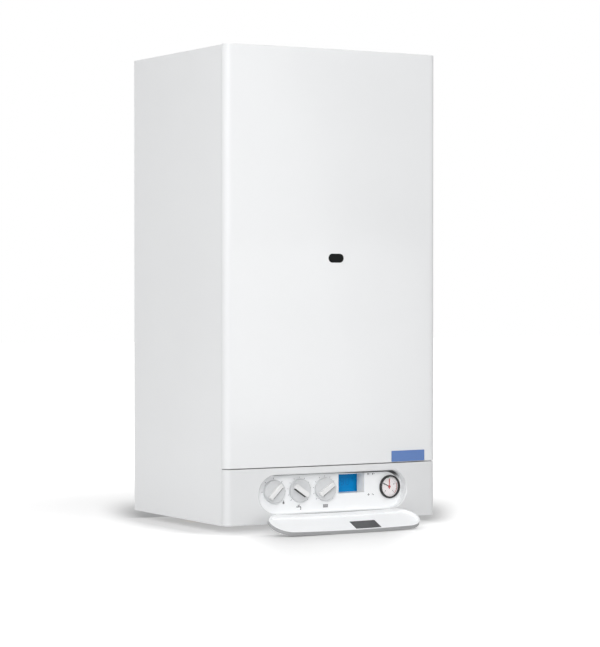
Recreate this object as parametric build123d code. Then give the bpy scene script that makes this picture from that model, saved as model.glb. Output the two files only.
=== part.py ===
from build123d import *

import os
from math import cos, radians, sin, sqrt

# A wall-hung combi boiler, in millimetres. X runs to the right seen from the front, Y runs back to the wall,
# and Z runs up. The origin is on the wall plane, midway across, level with the casing's lower edge.
# Lengths called *_Z, *_X or *_Y are places in that frame, and the other values are sizes.

# Casing
CASING_W = 400.0
CASING_H = 770.0
CASING_D = 330.0
CROWN = 6.0
CORNER_R = 12.0
SHEET = 1.0
FOLD_R = 0.9
SEAM_Z = 91.0
SEAM_GAP = 1.3
PANEL_GAP = 0.5
SEAT_GAP = 0.3
SIDE_STEP = 1.0
SIDE_FLANGE = 8.0
TOP_FLANGE = 13.0

# Chassis: a back pan, two side frames and a shelf that carries the water blocks
FRAME_SHEET = 1.5
PAN_GAP = 1.0
PAN_DEPTH = 14.0
FRAME_LOW_Z = 4.5
RAIL_W = 19.0
RAIL_LEG = 15.0
POST_W = 15.0
SHELF_TOP_Z = 62.0
SHELF_REACH = 104.0
SHELF_INSET = 20.0
FRONT_RAIL_W = 30.0
LUG_HALF_W = 45.0
LUG_LOW_Z = -5.0
LUG_TOP_Z = 24.0

# Wall bracket
BRACKET_HALF_W = 135.0
BRACKET_H = 42.0
BRACKET_SHEET = 2.5
HOOK_X = 90.0
HOOK_W = 40.0
HOOK_LIP = 12.0
HOOK_DROP = 52.0
HOOK_BELOW_EDGE = 16.0
HOOK_PLAY = 0.2
SLOT_DROP = 17.0
WALL_HOLE_R = 4.5
WALL_HOLE_SPACING = 240.0
WALL_HOLE_RISE = 12.0

# Fascia and the control recess
FASCIA_WALL = 2.5
OPENING_W = 280.0
OPENING_H = 62.0
OPENING_Z = 47.7
BEVEL = 1.6
RECESS_DEPTH = 20.0
RECESS_WALL = 2.0
RECESS_LAP = 1.5
NOTCH_PLAY = 1.1
INSERT_MARGIN = 20.0
INSERT_LOW_Z = 5.0
INSERT_TOP_Z = 86.0
INSERT_WALL = 2.5

# Flap and its hinge
FLAP_PLAY = 1.0
FLAP_EDGE = 6.0
FLAP_WALL = 3.0
FLAP_RIM = 3.0
FLAP_POCKET_Z = 26.0
FLAP_OPEN = 113.0
HINGE_PIN_R = 1.25
KNUCKLE_R = 2.6
HINGE_Y_INSET = 2.0
HINGE_Z = 12.5
LUG_LEN = 4.3
LUG_PLAY = 0.7
PIN_GRIP = 12.0
FIXED_FIT = 0.01
RUNNING_FIT = 0.05
FLAP_WINDOW_W = 48.0
FLAP_WINDOW_H = 30.0
FLAP_WINDOW_X = 34.0
FLAP_WINDOW_Z = 59.5
WINDOW_STEP = 1.0

# Knobs and the switches behind them
KNOB_R = 19.0
KNOB_DISC = 5.5
KNOB_CHAMFER = 1.0
KNOB_BAR_L = 31.0
KNOB_BAR_W = 8.5
KNOB_BAR_H = 6.0
KNOB_BAR_R = 3.2
KNOB_FILLET = 1.2
POINTER_W = 1.4
POINTER_L = 9.0
POINTER_DEEP = 0.8
KNOB_Z = 51.0
KNOB_EDGE = 36.0
KNOB_PITCH = 48.0
# bar angles seen from the front, from straight up and positive to the right
KNOB_TURN = {"knob_mode": 45.0, "knob_hot_water": -55.0, "knob_heating": 55.0}
STEM_R = 3.0
STEM_HOLE_PLAY = 1.0
STEM_IN_SWITCH = 8.0
SWITCH_W = 16.0
SWITCH_H = 11.0

# Display and circuit board
DISPLAY_X = 43.4
DISPLAY_Z = 58.35
DISPLAY_W = 49.8
DISPLAY_H = 31.5
DISPLAY_DEEP = 24.0
DISPLAY_T = 7.0
DISPLAY_LAP = 2.0
TUNNEL_WALL = 2.0
BOARD_T = 1.6
BOARD_MARGIN = 24.0
BOARD_RIGHT_X = 78.0
BOARD_LOW_Z = 12.0
BOARD_TOP_Z = 84.0

# Pressure gauge
GAUGE_EDGE = 23.0
GAUGE_Z = 50.0
BEZEL_R = 19.4
BEZEL_T = 4.0
BEZEL_LIP = 2.9
GAUGE_BODY_R = 18.5
GAUGE_BODY_L = 22.0
GAUGE_WALL = 1.0
GAUGE_GLASS_T = 1.4
GAUGE_GLASS_PLAY = 0.1
DIAL_T = 0.8
DIAL_DEEP = 4.6
DIAL_SEAT = 2.5
HAND_PIN_R = 0.8
HAND_HUB_R = 2.2
HAND_T = 0.5
HAND_GAP = 0.3
HAND_W = 1.3
HAND_L = 13.0
HAND_TAIL = 4.0
SET_HAND_TURN = -62.0

# Control box
BOX_MARGIN = 10.0
BOX_BACK_Y = -240.0
BOX_TOP_Z = 88.0
BOX_WALL = 2.0
STANDOFF_R = 4.0

# Details of the front panel
SIGHT_W = 29.0
SIGHT_H = 14.7
SIGHT_X = 2.0
SIGHT_Z = 429.3
SIGHT_PLAY = 0.15
SIGHT_LAP = 3.0
SIGHT_T = 2.0
BADGE_W = 66.0
BADGE_H = 18.0
BADGE_EDGE = 24.0
BADGE_LIFT = 1.0
BADGE_T = 1.0

# Sealed chamber and the stack inside it
CHAMBER_SEAT = 6.0
CHAMBER_LOW_Z = 350.0
CHAMBER_PLAY = 3.0
CHAMBER_FRONT_Y = -298.0
CHAMBER_FLANGE = 10.0
COVER_T = 2.0
COVER_SIGHT_R = 14.0
COVER_SIGHT_T = 3.0
COVER_HOLE_R = 11.0
COVER_SCREW_R = 2.0
COVER_SCREW_HEAD_R = 3.8
COVER_SCREW_HEAD_T = 2.2
COVER_SCREW_L = 8.0
COVER_SCREW_ROWS = 4
COVER_SCREW_EDGE = 5.5
STACK_HALF_W = 115.0
STACK_D = 160.0
STACK_SHEET = 1.0
FLAME_RISE = 32.3
BURNER_DECK_T = 3.0
INSULATION_T = 10.0
SPY_HOLE_R = 7.0
EXCHANGER_H = 60.0
FIN_COUNT = 22
FIN_T = 1.2
TUBE_COUNT = 5
TUBE_R = 7.0
HEADER_W = 30.0
HEADER_D = 44.0
HEADER_H = 30.0
BLADE_COUNT = 12
BLADE_PITCH = 16.0
BLADE_W = 8.0
BLADE_RISE = 18.0
BLADE_DROP = 17.0
BLADE_MARGIN = 7.0
BLADE_WALL = 1.0
BLADE_SLOT = 2.0
MOUTH_R = 3.6
MOUTH_DEEP = 12.0
BURNER_BAR = 4.0
MANIFOLD_R = 9.0
MANIFOLD_WALL = 2.0
MANIFOLD_DROP = 9.0
MANIFOLD_Y = -272.0
INJECTOR_R = 3.0
INJECTOR_GRIP = 3.0
INJECTOR_STANDOFF = 1.5
ELECTRODE_R = 3.5
ELECTRODE_TIP_R = 1.2
ELECTRODE_RISE = 40.0
ELECTRODE_X = (-60.0, -46.0, 60.0)
ELECTRODE_FRONT = 14.0
ELECTRODE_TIP = 22.0

# Flue hood and fan
HOOD_H = 50.0
HOOD_LEDGE = 5.0
HOOD_TOP_HALF_W = 95.0
CHIMNEY_HALF_W = 33.0
CHIMNEY_RISE = 45.0
FAN_X = -42.0
FAN_DROP = 62.0
SCROLL_R = 50.0
SCROLL_T = 50.0
SCROLL_WALL = 1.5
SCROLL_FOOT_HALF_W = 36.0
FAN_EYE_R = 26.0
OUTLET_HALF_W = 29.0
SPIGOT_R = 30.0
SPIGOT_WALL = 1.2
SPIGOT_REACH = 14.0
SPIGOT_SET = 3.0
SPIGOT_FLANGE = 3.0
ROTOR_R = 41.0
ROTOR_T = 34.0
ROTOR_BLADES = 20
ROTOR_BLADE_T = 1.2
ROTOR_BLADE_L = 11.0
ROTOR_DISC_T = 2.0
ROTOR_HUB_R = 9.0
ROTOR_HUB_T = 17.0
ROTOR_PLAY = 5.0
SHAFT_R = 4.0
SHAFT_HOLE_R = 6.0
MOTOR_R = 32.0
MOTOR_L = 46.0
MOTOR_RIB = 1.5
MOTOR_RIBS = 4
SHAFT_IN_MOTOR = 26.0
COLLAR_R = 50.0
COLLAR_WALL = 1.5
COLLAR_RISE = 12.0
COLLAR_FLANGE_R = 66.0
COLLAR_FLANGE_T = 2.0
COLLAR_FLANGE_LAP = 8.0
COLLAR_DIP = 2.0
COLLAR_PLAY = 1.0

# Expansion vessel, behind the chamber
VESSEL_R = 156.0
VESSEL_T = 80.0
VESSEL_EDGE_R = 25.0
VESSEL_RIM = 4.0
VESSEL_WALL = 1.5
VESSEL_DROP = 206.0
VESSEL_PORT_X = 40.0
VESSEL_PORT_R = 8.0
VESSEL_PORT_L = 14.0

# Water and gas connections, left to right: heating flow, hot water, gas, cold water, heating return
PITCH = 65.0
CONNECTION_Y = -88.0
CONNECTION_LOW_Z = -5.0
THREAD_L = 14.0
THREAD_LARGE_R = 13.22
THREAD_SMALL_R = 10.475
TUBE_LARGE_R = 10.5
TUBE_SMALL_R = 8.5
TUBE_BORE_R = 7.0
PASS_PLAY = 0.5

# Blocks, pump and valves
BLOCK_LARGE_R = 18.0
BLOCK_SMALL_R = 17.0
BLOCK_TOP_Z = 210.0
BLOCK_SMALL_TOP_Z = 200.0
BLOCK_WALL = 5.0
CROSS_R = 16.0
FLOW_CROSS_Z = 150.0
RETURN_CROSS_Z = 116.0
PORT_R = 13.0
PORT_LOW_Z = 137.0
PORT_RISE = 40.0
PORT_X = 68.0
PLATES_HALF_W = 90.0
PLATES_T = 36.0
PLATES_FRONT_Y = -62.0
PLATES_MARGIN = 15.0
PLATE_COUNT = 9
PLATE_GROOVE = 0.8
PLATE_GROOVE_DEEP = 1.5
DIVERTER_X = -100.0
DIVERTER_R = 18.0
DIVERTER_FRONT_Y = -118.0
SPINDLE_R = 6.0
SPINDLE_STROKE = 8.0
SPINDLE_IN_BLOCK = 32.0
SPINDLE_IN_ACTUATOR = 30.0
ACTUATOR_HALF_W = 25.0
ACTUATOR_L = 60.0
ACTUATOR_LOW_Z = 126.0
ACTUATOR_TOP_Z = 190.0
ACTUATOR_EDGE_R = 4.0
PUMP_X = 100.0
PUMP_Z = 175.0
PUMP_BACK_Y = -110.0
VOLUTE_R = 42.0
VOLUTE_T = 40.0
VOLUTE_WALL = 5.0
PUMP_SEAT_R = 24.0
PUMP_OUTLET_R = 12.0
PUMP_OUTLET_TOP_Z = 225.0
PUMP_MOTOR_R = 36.0
PUMP_MOTOR_L = 85.0
PUMP_MOTOR_EDGE = 3.0
TERMINAL_BOX_H = 12.0
TERMINAL_BOX_HALF_W = 24.0
TERMINAL_BOX_L = 50.0
IMPELLER_R = 30.0
IMPELLER_T = 14.0
IMPELLER_VANES = 6
IMPELLER_DISC_T = 2.0
IMPELLER_SHAFT_R = 5.0
IMPELLER_IN_MOTOR = 60.0
IMPELLER_PLAY = 4.0
VENT_R = 15.0
VENT_H = 52.0
VENT_CAP_R = 5.0
VENT_CAP_H = 7.0
SAFETY_X = 85.0
SAFETY_Z = 113.0
SAFETY_R = 11.0
SAFETY_FRONT_Y = -140.0
SAFETY_OUTLET_R = 8.0
SAFETY_OUTLET_L = 26.0
SAFETY_KNOB_R = 14.0
SAFETY_KNOB_T = 16.0
SAFETY_STEM_R = 4.0
SAFETY_STEM_L = 10.0
TAP_X = 97.5
TAP_BOSS_R = 9.0
TAP_LOW_Z = 66.0
TAP_STEM_R = 3.0
TAP_STEM_IN = 15.0
TAP_HOLE_PLAY = 3.0
TAP_KNOB_R = 14.0
TAP_KNOB_LOW_Z = 30.0
TAP_KNOB_T = 16.0
KNOB_FLUTES = 8
FLUTE_R = 2.2
GAS_VALVE_HALF_W = 30.0
GAS_VALVE_LOW_Z = 215.0
GAS_VALVE_H = 75.0
GAS_VALVE_D = 60.0
GAS_VALVE_Y = -170.0
GAS_COIL_R = 14.0
GAS_COIL_L = 32.0
GAS_COIL_X = 15.0
GAS_BEND_Z = 150.0
GAS_BEND_R = 25.0
RISER_R = 6.0
RISER_BORE_R = 5.0
RISER_Z = 322.0
RISER_BEND_R = 14.0
PIPE_R = 9.0
PIPE_BORE_R = 8.0
PIPE_Z = 300.0
PIPE_BEND_R = 20.0
VESSEL_PIPE_R = 5.0
VESSEL_PIPE_BORE_R = 4.0
VESSEL_PIPE_DROP = 23.2
VESSEL_PIPE_TURN_Z = 250.0
VESSEL_PIPE_BEND_R = 12.0

# Places worked out from the sizes above
HALF_W = CASING_W / 2
CROWN_R = (HALF_W**2 + CROWN**2) / (2 * CROWN)
FRONT_Y = -(CASING_D + CROWN)
CROWN_Y = FRONT_Y + CROWN_R
SEAM_Y = -(CASING_D - CORNER_R)
FACE_X = HALF_W - SHEET
FRONT_LOW_Z = SEAM_Z + SEAM_GAP / 2
FASCIA_TOP_Z = SEAM_Z - SEAM_GAP / 2
SIDE_TOP_Z = CASING_H - SIDE_STEP
TOP_Z = SIDE_TOP_Z - SHEET
FRAME_TOP_Z = TOP_Z - TOP_FLANGE
PAN_HALF_W = FACE_X - SIDE_FLANGE - PAN_GAP
SHELF_HALF_W = PAN_HALF_W - SHELF_INSET
HOOK_Z = TOP_Z - HOOK_DROP
BRACKET_TOP_Z = HOOK_Z + HOOK_BELOW_EDGE
BRACKET_LOW_Z = BRACKET_TOP_Z - BRACKET_H
WALL_HOLE_Z = BRACKET_LOW_Z + WALL_HOLE_RISE
POST_Y = SEAM_Y + SEAT_GAP
FLOOR_Y = FRONT_Y + RECESS_DEPTH
FLOOR_BACK_Y = FLOOR_Y + INSERT_WALL
HINGE_Y = FRONT_Y + HINGE_Y_INSET
STRAIGHT = (OPENING_W - OPENING_H) / 2
INSERT_W = OPENING_W + 2 * INSERT_MARGIN
BOX_HALF_W = OPENING_W / 2 + BOX_MARGIN
KNOB_FIRST_X = KNOB_EDGE - OPENING_W / 2
BOARD_LEFT_X = KNOB_FIRST_X - BOARD_MARGIN
GAUGE_X = OPENING_W / 2 - GAUGE_EDGE
BADGE_X = HALF_W - BADGE_EDGE - BADGE_W / 2
NOTCH_LOW_Z = HINGE_Z - KNUCKLE_R - NOTCH_PLAY
DISPLAY_Y = FLOOR_Y + DISPLAY_DEEP
BOARD_Y = DISPLAY_Y + DISPLAY_T
CHAMBER_BACK_Y = -(PAN_DEPTH + VESSEL_T + COVER_T)
STACK_BACK_Y = CHAMBER_BACK_Y - SHEET - SEAT_GAP
STACK_FRONT_Y = STACK_BACK_Y - STACK_D
STACK_Y = (STACK_BACK_Y + STACK_FRONT_Y) / 2
CHAMBER_HALF_W = FACE_X - RAIL_W + CHAMBER_SEAT
CHAMBER_TOP_Z = FRAME_TOP_Z - CHAMBER_PLAY
COLLAR_TOP_Z = SIDE_TOP_Z + COLLAR_RISE
SPIGOT_TOP_Z = COLLAR_TOP_Z - SPIGOT_SET
SPIGOT_LOW_Z = CHAMBER_TOP_Z - SPIGOT_REACH
FAN_Z = CHAMBER_TOP_Z - FAN_DROP
CHIMNEY_TOP_Z = FAN_Z + CHIMNEY_RISE
HOOD_TOP_Z = FAN_Z - SCROLL_R
HOOD_LOW_Z = HOOD_TOP_Z - HOOD_H
EXCHANGER_LOW_Z = HOOD_LOW_Z - EXCHANGER_H
BURNER_DECK_Z = SIGHT_Z - FLAME_RISE
COMBUSTION_LOW_Z = BURNER_DECK_Z + BURNER_DECK_T
BLADE_TOP_Z = COMBUSTION_LOW_Z + BLADE_RISE
BLADE_LOW_Z = BURNER_DECK_Z - BLADE_DROP
MANIFOLD_Z = BURNER_DECK_Z - MANIFOLD_DROP
ELECTRODE_Z = COMBUSTION_LOW_Z + ELECTRODE_RISE
VESSEL_Z = TOP_Z - VESSEL_DROP
VESSEL_PORT_LOW_Z = VESSEL_Z - sqrt(VESSEL_R**2 - VESSEL_PORT_X**2) - VESSEL_PORT_L
VESSEL_PIPE_Z = VESSEL_PORT_LOW_Z - VESSEL_PIPE_DROP
PIPE_X = 2 * PITCH
HEADER_LOW_Z = EXCHANGER_LOW_Z + (EXCHANGER_H - HEADER_H) / 2


def block(x, y, z):
    """A box between two places on each axis."""
    size = [abs(b - a) for a, b in (x, y, z)]
    middle = [(a + b) / 2 for a, b in (x, y, z)]
    return Pos(*middle) * Box(*size)


def rod_x(radius, x, y, z):
    return Pos((x[0] + x[1]) / 2, y, z) * Rot(0, 90, 0) * Cylinder(radius, abs(x[1] - x[0]))


def rod_y(radius, x, y, z):
    return Pos(x, (y[0] + y[1]) / 2, z) * Rot(90, 0, 0) * Cylinder(radius, abs(y[1] - y[0]))


def rod_z(radius, x, y, z):
    return Pos(x, y, (z[0] + z[1]) / 2) * Cylinder(radius, abs(z[1] - z[0]))


def both(half, play=0.0):
    """A range of the given half width about zero."""
    return (-half - play, half + play)


def around(middle, size):
    return (middle - size / 2, middle + size / 2)


def oblong_y(width, height, x, z, y, corner=None):
    """A bar along Y with an oblong section; round ends unless a corner radius is given."""
    radius = corner if corner is not None else height / 2
    if radius >= height / 2:
        section = SlotOverall(width, height)
    else:
        section = RectangleRounded(width, height, radius)
    low, high = min(y), max(y)
    return Pos(x, high, z) * extrude(Plane.XZ * section, high - low)


def front_prism(inset, back, z):
    """The casing's bowed front in plan with rounded upright edges, as a prism from z[0] to z[1]."""
    half, radius = HALF_W - inset, CROWN_R - inset
    edge_y = CROWN_Y - sqrt(radius**2 - half**2)
    left, right = (-half, edge_y), (half, edge_y)
    outline = [
        Line((-half, back), left),
        ThreePointArc(left, (0, CROWN_Y - radius), right),
        Line(right, (half, back)),
        Line((half, back), (-half, back)),
    ]
    section = make_face(outline)
    corners = section.vertices().filter_by(lambda v: v.Y < back - 1)
    section = fillet(corners, CORNER_R - inset)
    return Pos(0, 0, z[0]) * extrude(section, z[1] - z[0])


def front_tray(wall, z):
    """A tray open to the back: the bowed front with its side, top and bottom returns."""
    outside = front_prism(0, SEAM_Y, z)
    level = outside.edges().filter_by(lambda e: abs((e @ 0).Z - (e @ 1).Z) < FOLD_R / 2)
    outside = fillet(level.filter_by(lambda e: e.center().Y < SEAM_Y - FOLD_R), FOLD_R)
    return outside - front_prism(wall, SEAM_Y + wall, (z[0] + wall, z[1] - wall))


def pipe(points, radius, bore, bend):
    """A tube of round section along straight runs joined by tangent arcs."""
    path = FilletPolyline(*points, radius=bend)
    start = Plane(origin=path @ 0, z_dir=path % 0)
    return sweep(start * (Circle(radius) - Circle(bore)), path=path)


def turned(shape, angle, x, z):
    """Turned about an axis along Y through (x, z), clockwise seen from the front for a positive angle."""
    return Pos(x, 0, z) * Rot(0, angle, 0) * Pos(-x, 0, -z) * shape


# Casing --------------------------------------------------------------------------------------------


def make_chassis():
    sheet, top = FRAME_SHEET, TOP_Z
    web_y = (-PAN_DEPTH, -PAN_DEPTH + sheet)
    pan = block(both(PAN_HALF_W), web_y, (FRAME_LOW_Z, top))
    for side in (-1, 1):
        edge = (side * PAN_HALF_W, side * (PAN_HALF_W - sheet))
        pan += block(edge, (-PAN_DEPTH, 0), (FRAME_LOW_Z, top))
    for low in (FRAME_LOW_Z, top - sheet):
        pan += block(both(PAN_HALF_W), (-PAN_DEPTH, 0), (low, low + sheet))
    slot_z = (HOOK_Z - SLOT_DROP, HOOK_Z)
    for side in (-1, 1):
        pan -= block(around(side * HOOK_X, HOOK_W + 2 * HOOK_PLAY), web_y, slot_z)
    lug = block(both(LUG_HALF_W), (-sheet, 0), (LUG_LOW_Z, LUG_TOP_Z))
    lug += block(both(LUG_HALF_W), (-PAN_DEPTH, 0), (LUG_TOP_Z - sheet, LUG_TOP_Z))
    return pan + lug + side_frames() + shelf()


def side_frames():
    """Rails along both sides, front posts, and the cross rails that tie them."""
    sheet, top = FRAME_SHEET, FRAME_TOP_Z
    run = (POST_Y, -PAN_DEPTH + sheet)
    frame = block(both(FACE_X), (SEAM_Y + CORNER_R + SHEET, SEAM_Y + CORNER_R + FRONT_RAIL_W),
                  (FRAME_LOW_Z, FRAME_LOW_Z + sheet))
    frame += block(both(FACE_X), (POST_Y, POST_Y + sheet), (top - RAIL_LEG, top))
    for side in (-1, 1):
        outer = (side * (FACE_X - sheet), side * FACE_X)
        ledge = (side * (FACE_X - RAIL_W), side * FACE_X)
        post = (side * (FACE_X - POST_W), side * FACE_X)
        frame += block(post, (POST_Y, POST_Y + sheet), (FRAME_LOW_Z, top))
        frame += block(outer, (POST_Y, POST_Y + RAIL_W), (FRAME_LOW_Z, top))
        for level in (CHAMBER_LOW_Z, top):
            frame += block(ledge, run, (level - sheet, level))
            frame += block(outer, run, (level - RAIL_LEG, level))
        frame += block(ledge, run, (FRAME_LOW_Z, FRAME_LOW_Z + sheet))
        frame += block(outer, run, (FRAME_LOW_Z, FRAME_LOW_Z + RAIL_LEG))
    return frame


def shelf():
    """The shelf that the water blocks stand on, with a hole for each connection."""
    sheet = FRAME_SHEET
    deck_z = (SHELF_TOP_Z - sheet, SHELF_TOP_Z)
    deck = block(both(SHELF_HALF_W), (-PAN_DEPTH - SHELF_REACH, -PAN_DEPTH), deck_z)
    lip_y = (-PAN_DEPTH - SHELF_REACH, -PAN_DEPTH - SHELF_REACH + sheet)
    deck += block(both(SHELF_HALF_W), lip_y, (SHELF_TOP_Z - RAIL_LEG, SHELF_TOP_Z))
    for x, _, tube in connections():
        deck -= rod_z(tube + PASS_PLAY, x, CONNECTION_Y, deck_z)
    deck -= rod_z(TAP_STEM_R + TAP_HOLE_PLAY, TAP_X, CONNECTION_Y, deck_z)
    return deck


def connections():
    """X place, thread radius and tube radius of each connection, left to right."""
    large, small = (THREAD_LARGE_R, TUBE_LARGE_R), (THREAD_SMALL_R, TUBE_SMALL_R)
    sizes = (large, small, (THREAD_LARGE_R, PIPE_R), small, large)
    return [(PITCH * (n - 2), *size) for n, size in enumerate(sizes)]


def make_wall_bracket():
    sheet = BRACKET_SHEET
    rail = block(both(BRACKET_HALF_W), (-sheet, 0), (BRACKET_LOW_Z, BRACKET_TOP_Z))
    lip_back = -PAN_DEPTH - HOOK_PLAY
    for side in (-1, 1):
        width = around(side * HOOK_X, HOOK_W)
        rail += block(width, (lip_back - sheet, 0), (HOOK_Z - sheet, HOOK_Z))
        rail += block(width, (lip_back - sheet, lip_back), (HOOK_Z - sheet, HOOK_Z + HOOK_LIP))
        rail -= rod_y(WALL_HOLE_R, side * WALL_HOLE_SPACING / 2, (-sheet, 0), WALL_HOLE_Z)
    return rail


def make_side_panel(side):
    front = SEAM_Y + PANEL_GAP
    skin = block((side * FACE_X, side * HALF_W), (front, 0), (0, SIDE_TOP_Z))
    fold = (side * (FACE_X - SIDE_FLANGE), side * FACE_X)
    skin += block(fold, (-SHEET, 0), (0, TOP_Z))
    skin += block(fold, (POST_Y + FRAME_SHEET + SEAT_GAP, 0), (0, SHEET))
    return skin


def make_top_panel():
    front = SEAM_Y + PANEL_GAP
    panel = block(both(FACE_X), (front, 0), (TOP_Z, SIDE_TOP_Z))
    for side in (-1, 1):
        fold = (side * (FACE_X - SHEET), side * FACE_X)
        panel += block(fold, (front, -SHEET), (FRAME_TOP_Z, TOP_Z))
    return panel - rod_z(COLLAR_FLANGE_R - COLLAR_FLANGE_LAP, 0, STACK_Y, (TOP_Z, SIDE_TOP_Z))


def make_front_panel():
    tray = front_tray(SHEET, (FRONT_LOW_Z, CASING_H))
    return tray - oblong_y(SIGHT_W, SIGHT_H, SIGHT_X, SIGHT_Z, (FRONT_Y - SHEET, SEAM_Y))


def make_sight_glass():
    """A dark lens flush with the front, with a flange behind the sheet."""
    lens = oblong_y(SIGHT_W - 2 * SIGHT_PLAY, SIGHT_H - 2 * SIGHT_PLAY, SIGHT_X, SIGHT_Z,
                    (FRONT_Y + SIGHT_PLAY, FRONT_Y + SHEET + SIGHT_T))
    flange = oblong_y(SIGHT_W + 2 * SIGHT_LAP, SIGHT_H + 2 * SIGHT_LAP, SIGHT_X, SIGHT_Z,
                      (FRONT_Y + SHEET + SIGHT_PLAY, FRONT_Y + SHEET + SIGHT_T))
    return lens + flange


def make_badge_plate():
    """A bare plate that follows the front's curve, seated on it face to face."""
    low = FRONT_LOW_Z + BADGE_LIFT
    window = block(around(BADGE_X, BADGE_W), (FRONT_Y - BADGE_T, SEAM_Y), (low, low + BADGE_H))
    uprights = window.edges().filter_by(Axis.Y)
    window = fillet(uprights, BADGE_T)
    shell = front_prism(-BADGE_T, SEAM_Y, (0, CASING_H)) - front_prism(0, SEAM_Y, (0, CASING_H))
    return window & shell


# Fascia and flap -----------------------------------------------------------------------------------


def hinge_ends(side):
    """X range of the fascia's hinge lug on one side."""
    inner = STRAIGHT + LUG_PLAY / 2
    return (side * inner, side * (inner + LUG_LEN))


def make_fascia():
    tray = front_tray(FASCIA_WALL, (0, FASCIA_TOP_Z))
    through = (FRONT_Y - CROWN, SEAM_Y - RECESS_WALL)
    tray -= oblong_y(OPENING_W, OPENING_H, 0, OPENING_Z, through)
    tray = chamfer(opening_rim(tray), BEVEL)
    tray -= block(both(STRAIGHT, LUG_PLAY / 2), through, (NOTCH_LOW_Z, OPENING_Z))
    for side in (-1, 1):
        tray += rod_x(KNUCKLE_R, hinge_ends(side), HINGE_Y, HINGE_Z)
        tray -= rod_x(HINGE_PIN_R + FIXED_FIT, hinge_ends(side), HINGE_Y, HINGE_Z)
    return tray


def opening_rim(tray):
    """Edges of the opening on the fascia's outer surface."""
    def on_rim(edge):
        spots = [edge @ t for t in (0.0, 0.5, 1.0)]
        outer = all(abs(sqrt(p.X**2 + (p.Y - CROWN_Y)**2) - CROWN_R) < SEAT_GAP for p in spots)
        across = all(abs(p.X) < OPENING_W / 2 + SEAT_GAP for p in spots)
        return outer and across and all(abs(p.Z - OPENING_Z) < OPENING_H / 2 + SEAT_GAP for p in spots)
    return tray.edges().filter_by(on_rim)


def flap_closed():
    """The flap as it stands when shut: a curved plate flush with the fascia, and the rolled hinge edge."""
    width, height = OPENING_W - 2 * FLAP_PLAY, OPENING_H - 2 * FLAP_PLAY
    everywhere = (0, FASCIA_TOP_Z)
    front, behind = front_prism(0, SEAM_Y, everywhere), front_prism(FLAP_WALL, SEAM_Y + 1, everywhere)
    plate = front - front_prism(FLAP_EDGE, SEAM_Y + 1, everywhere)
    plate &= oblong_y(width, height, 0, OPENING_Z, (FRONT_Y - CROWN, SEAM_Y))
    pocket = oblong_y(width - 2 * FLAP_RIM, height - 2 * FLAP_RIM, 0, OPENING_Z, (FRONT_Y - CROWN, SEAM_Y))
    pocket -= block(both(HALF_W), (FRONT_Y - CROWN, SEAM_Y), (0, FLAP_POCKET_Z))
    plate -= behind & pocket
    strip = (front - behind) & block(both(STRAIGHT, -LUG_PLAY / 2), (FRONT_Y - CROWN, SEAM_Y),
                          (HINGE_Z, OPENING_Z - height / 2 + FLAP_WALL))
    roll = rod_x(KNUCKLE_R, both(STRAIGHT, -LUG_PLAY / 2), HINGE_Y, HINGE_Z)
    flap = plate + strip + roll
    for side in (-1, 1):
        bore = (side * (STRAIGHT - PIN_GRIP - LUG_PLAY), side * STRAIGHT)
        flap -= rod_x(HINGE_PIN_R + RUNNING_FIT, bore, HINGE_Y, HINGE_Z)
    return flap - window_cut(0)


def window_cut(shrink):
    """The opening for the flap's window, through the whole flap, made smaller by shrink on each side."""
    width, height = FLAP_WINDOW_W - 2 * shrink, FLAP_WINDOW_H - 2 * shrink
    depth = (FRONT_Y - CROWN, SEAM_Y)
    return oblong_y(width, height, FLAP_WINDOW_X, FLAP_WINDOW_Z, depth, WINDOW_STEP)


def opened(shape):
    """Swung from shut to fully open about the hinge."""
    return Pos(0, HINGE_Y, HINGE_Z) * Rot(FLAP_OPEN, 0, 0) * Pos(0, -HINGE_Y, -HINGE_Z) * shape


def make_flap():
    return opened(flap_closed())


def make_flap_window():
    everywhere = (0, FASCIA_TOP_Z)
    shell = front_prism(0, SEAM_Y, everywhere) - front_prism(FLAP_WALL, SEAM_Y + 1, everywhere)
    return opened(shell & window_cut(RUNNING_FIT))


def make_flap_hinge_pins():
    pins = []
    for side in (-1, 1):
        end = hinge_ends(side)[1]
        pins.append(rod_x(HINGE_PIN_R, (side * (STRAIGHT - PIN_GRIP), end), HINGE_Y, HINGE_Z))
    return pins


# Control panel -------------------------------------------------------------------------------------


def knob_places():
    return {name: KNOB_FIRST_X + KNOB_PITCH * n for n, name in enumerate(KNOB_TURN)}


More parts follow.
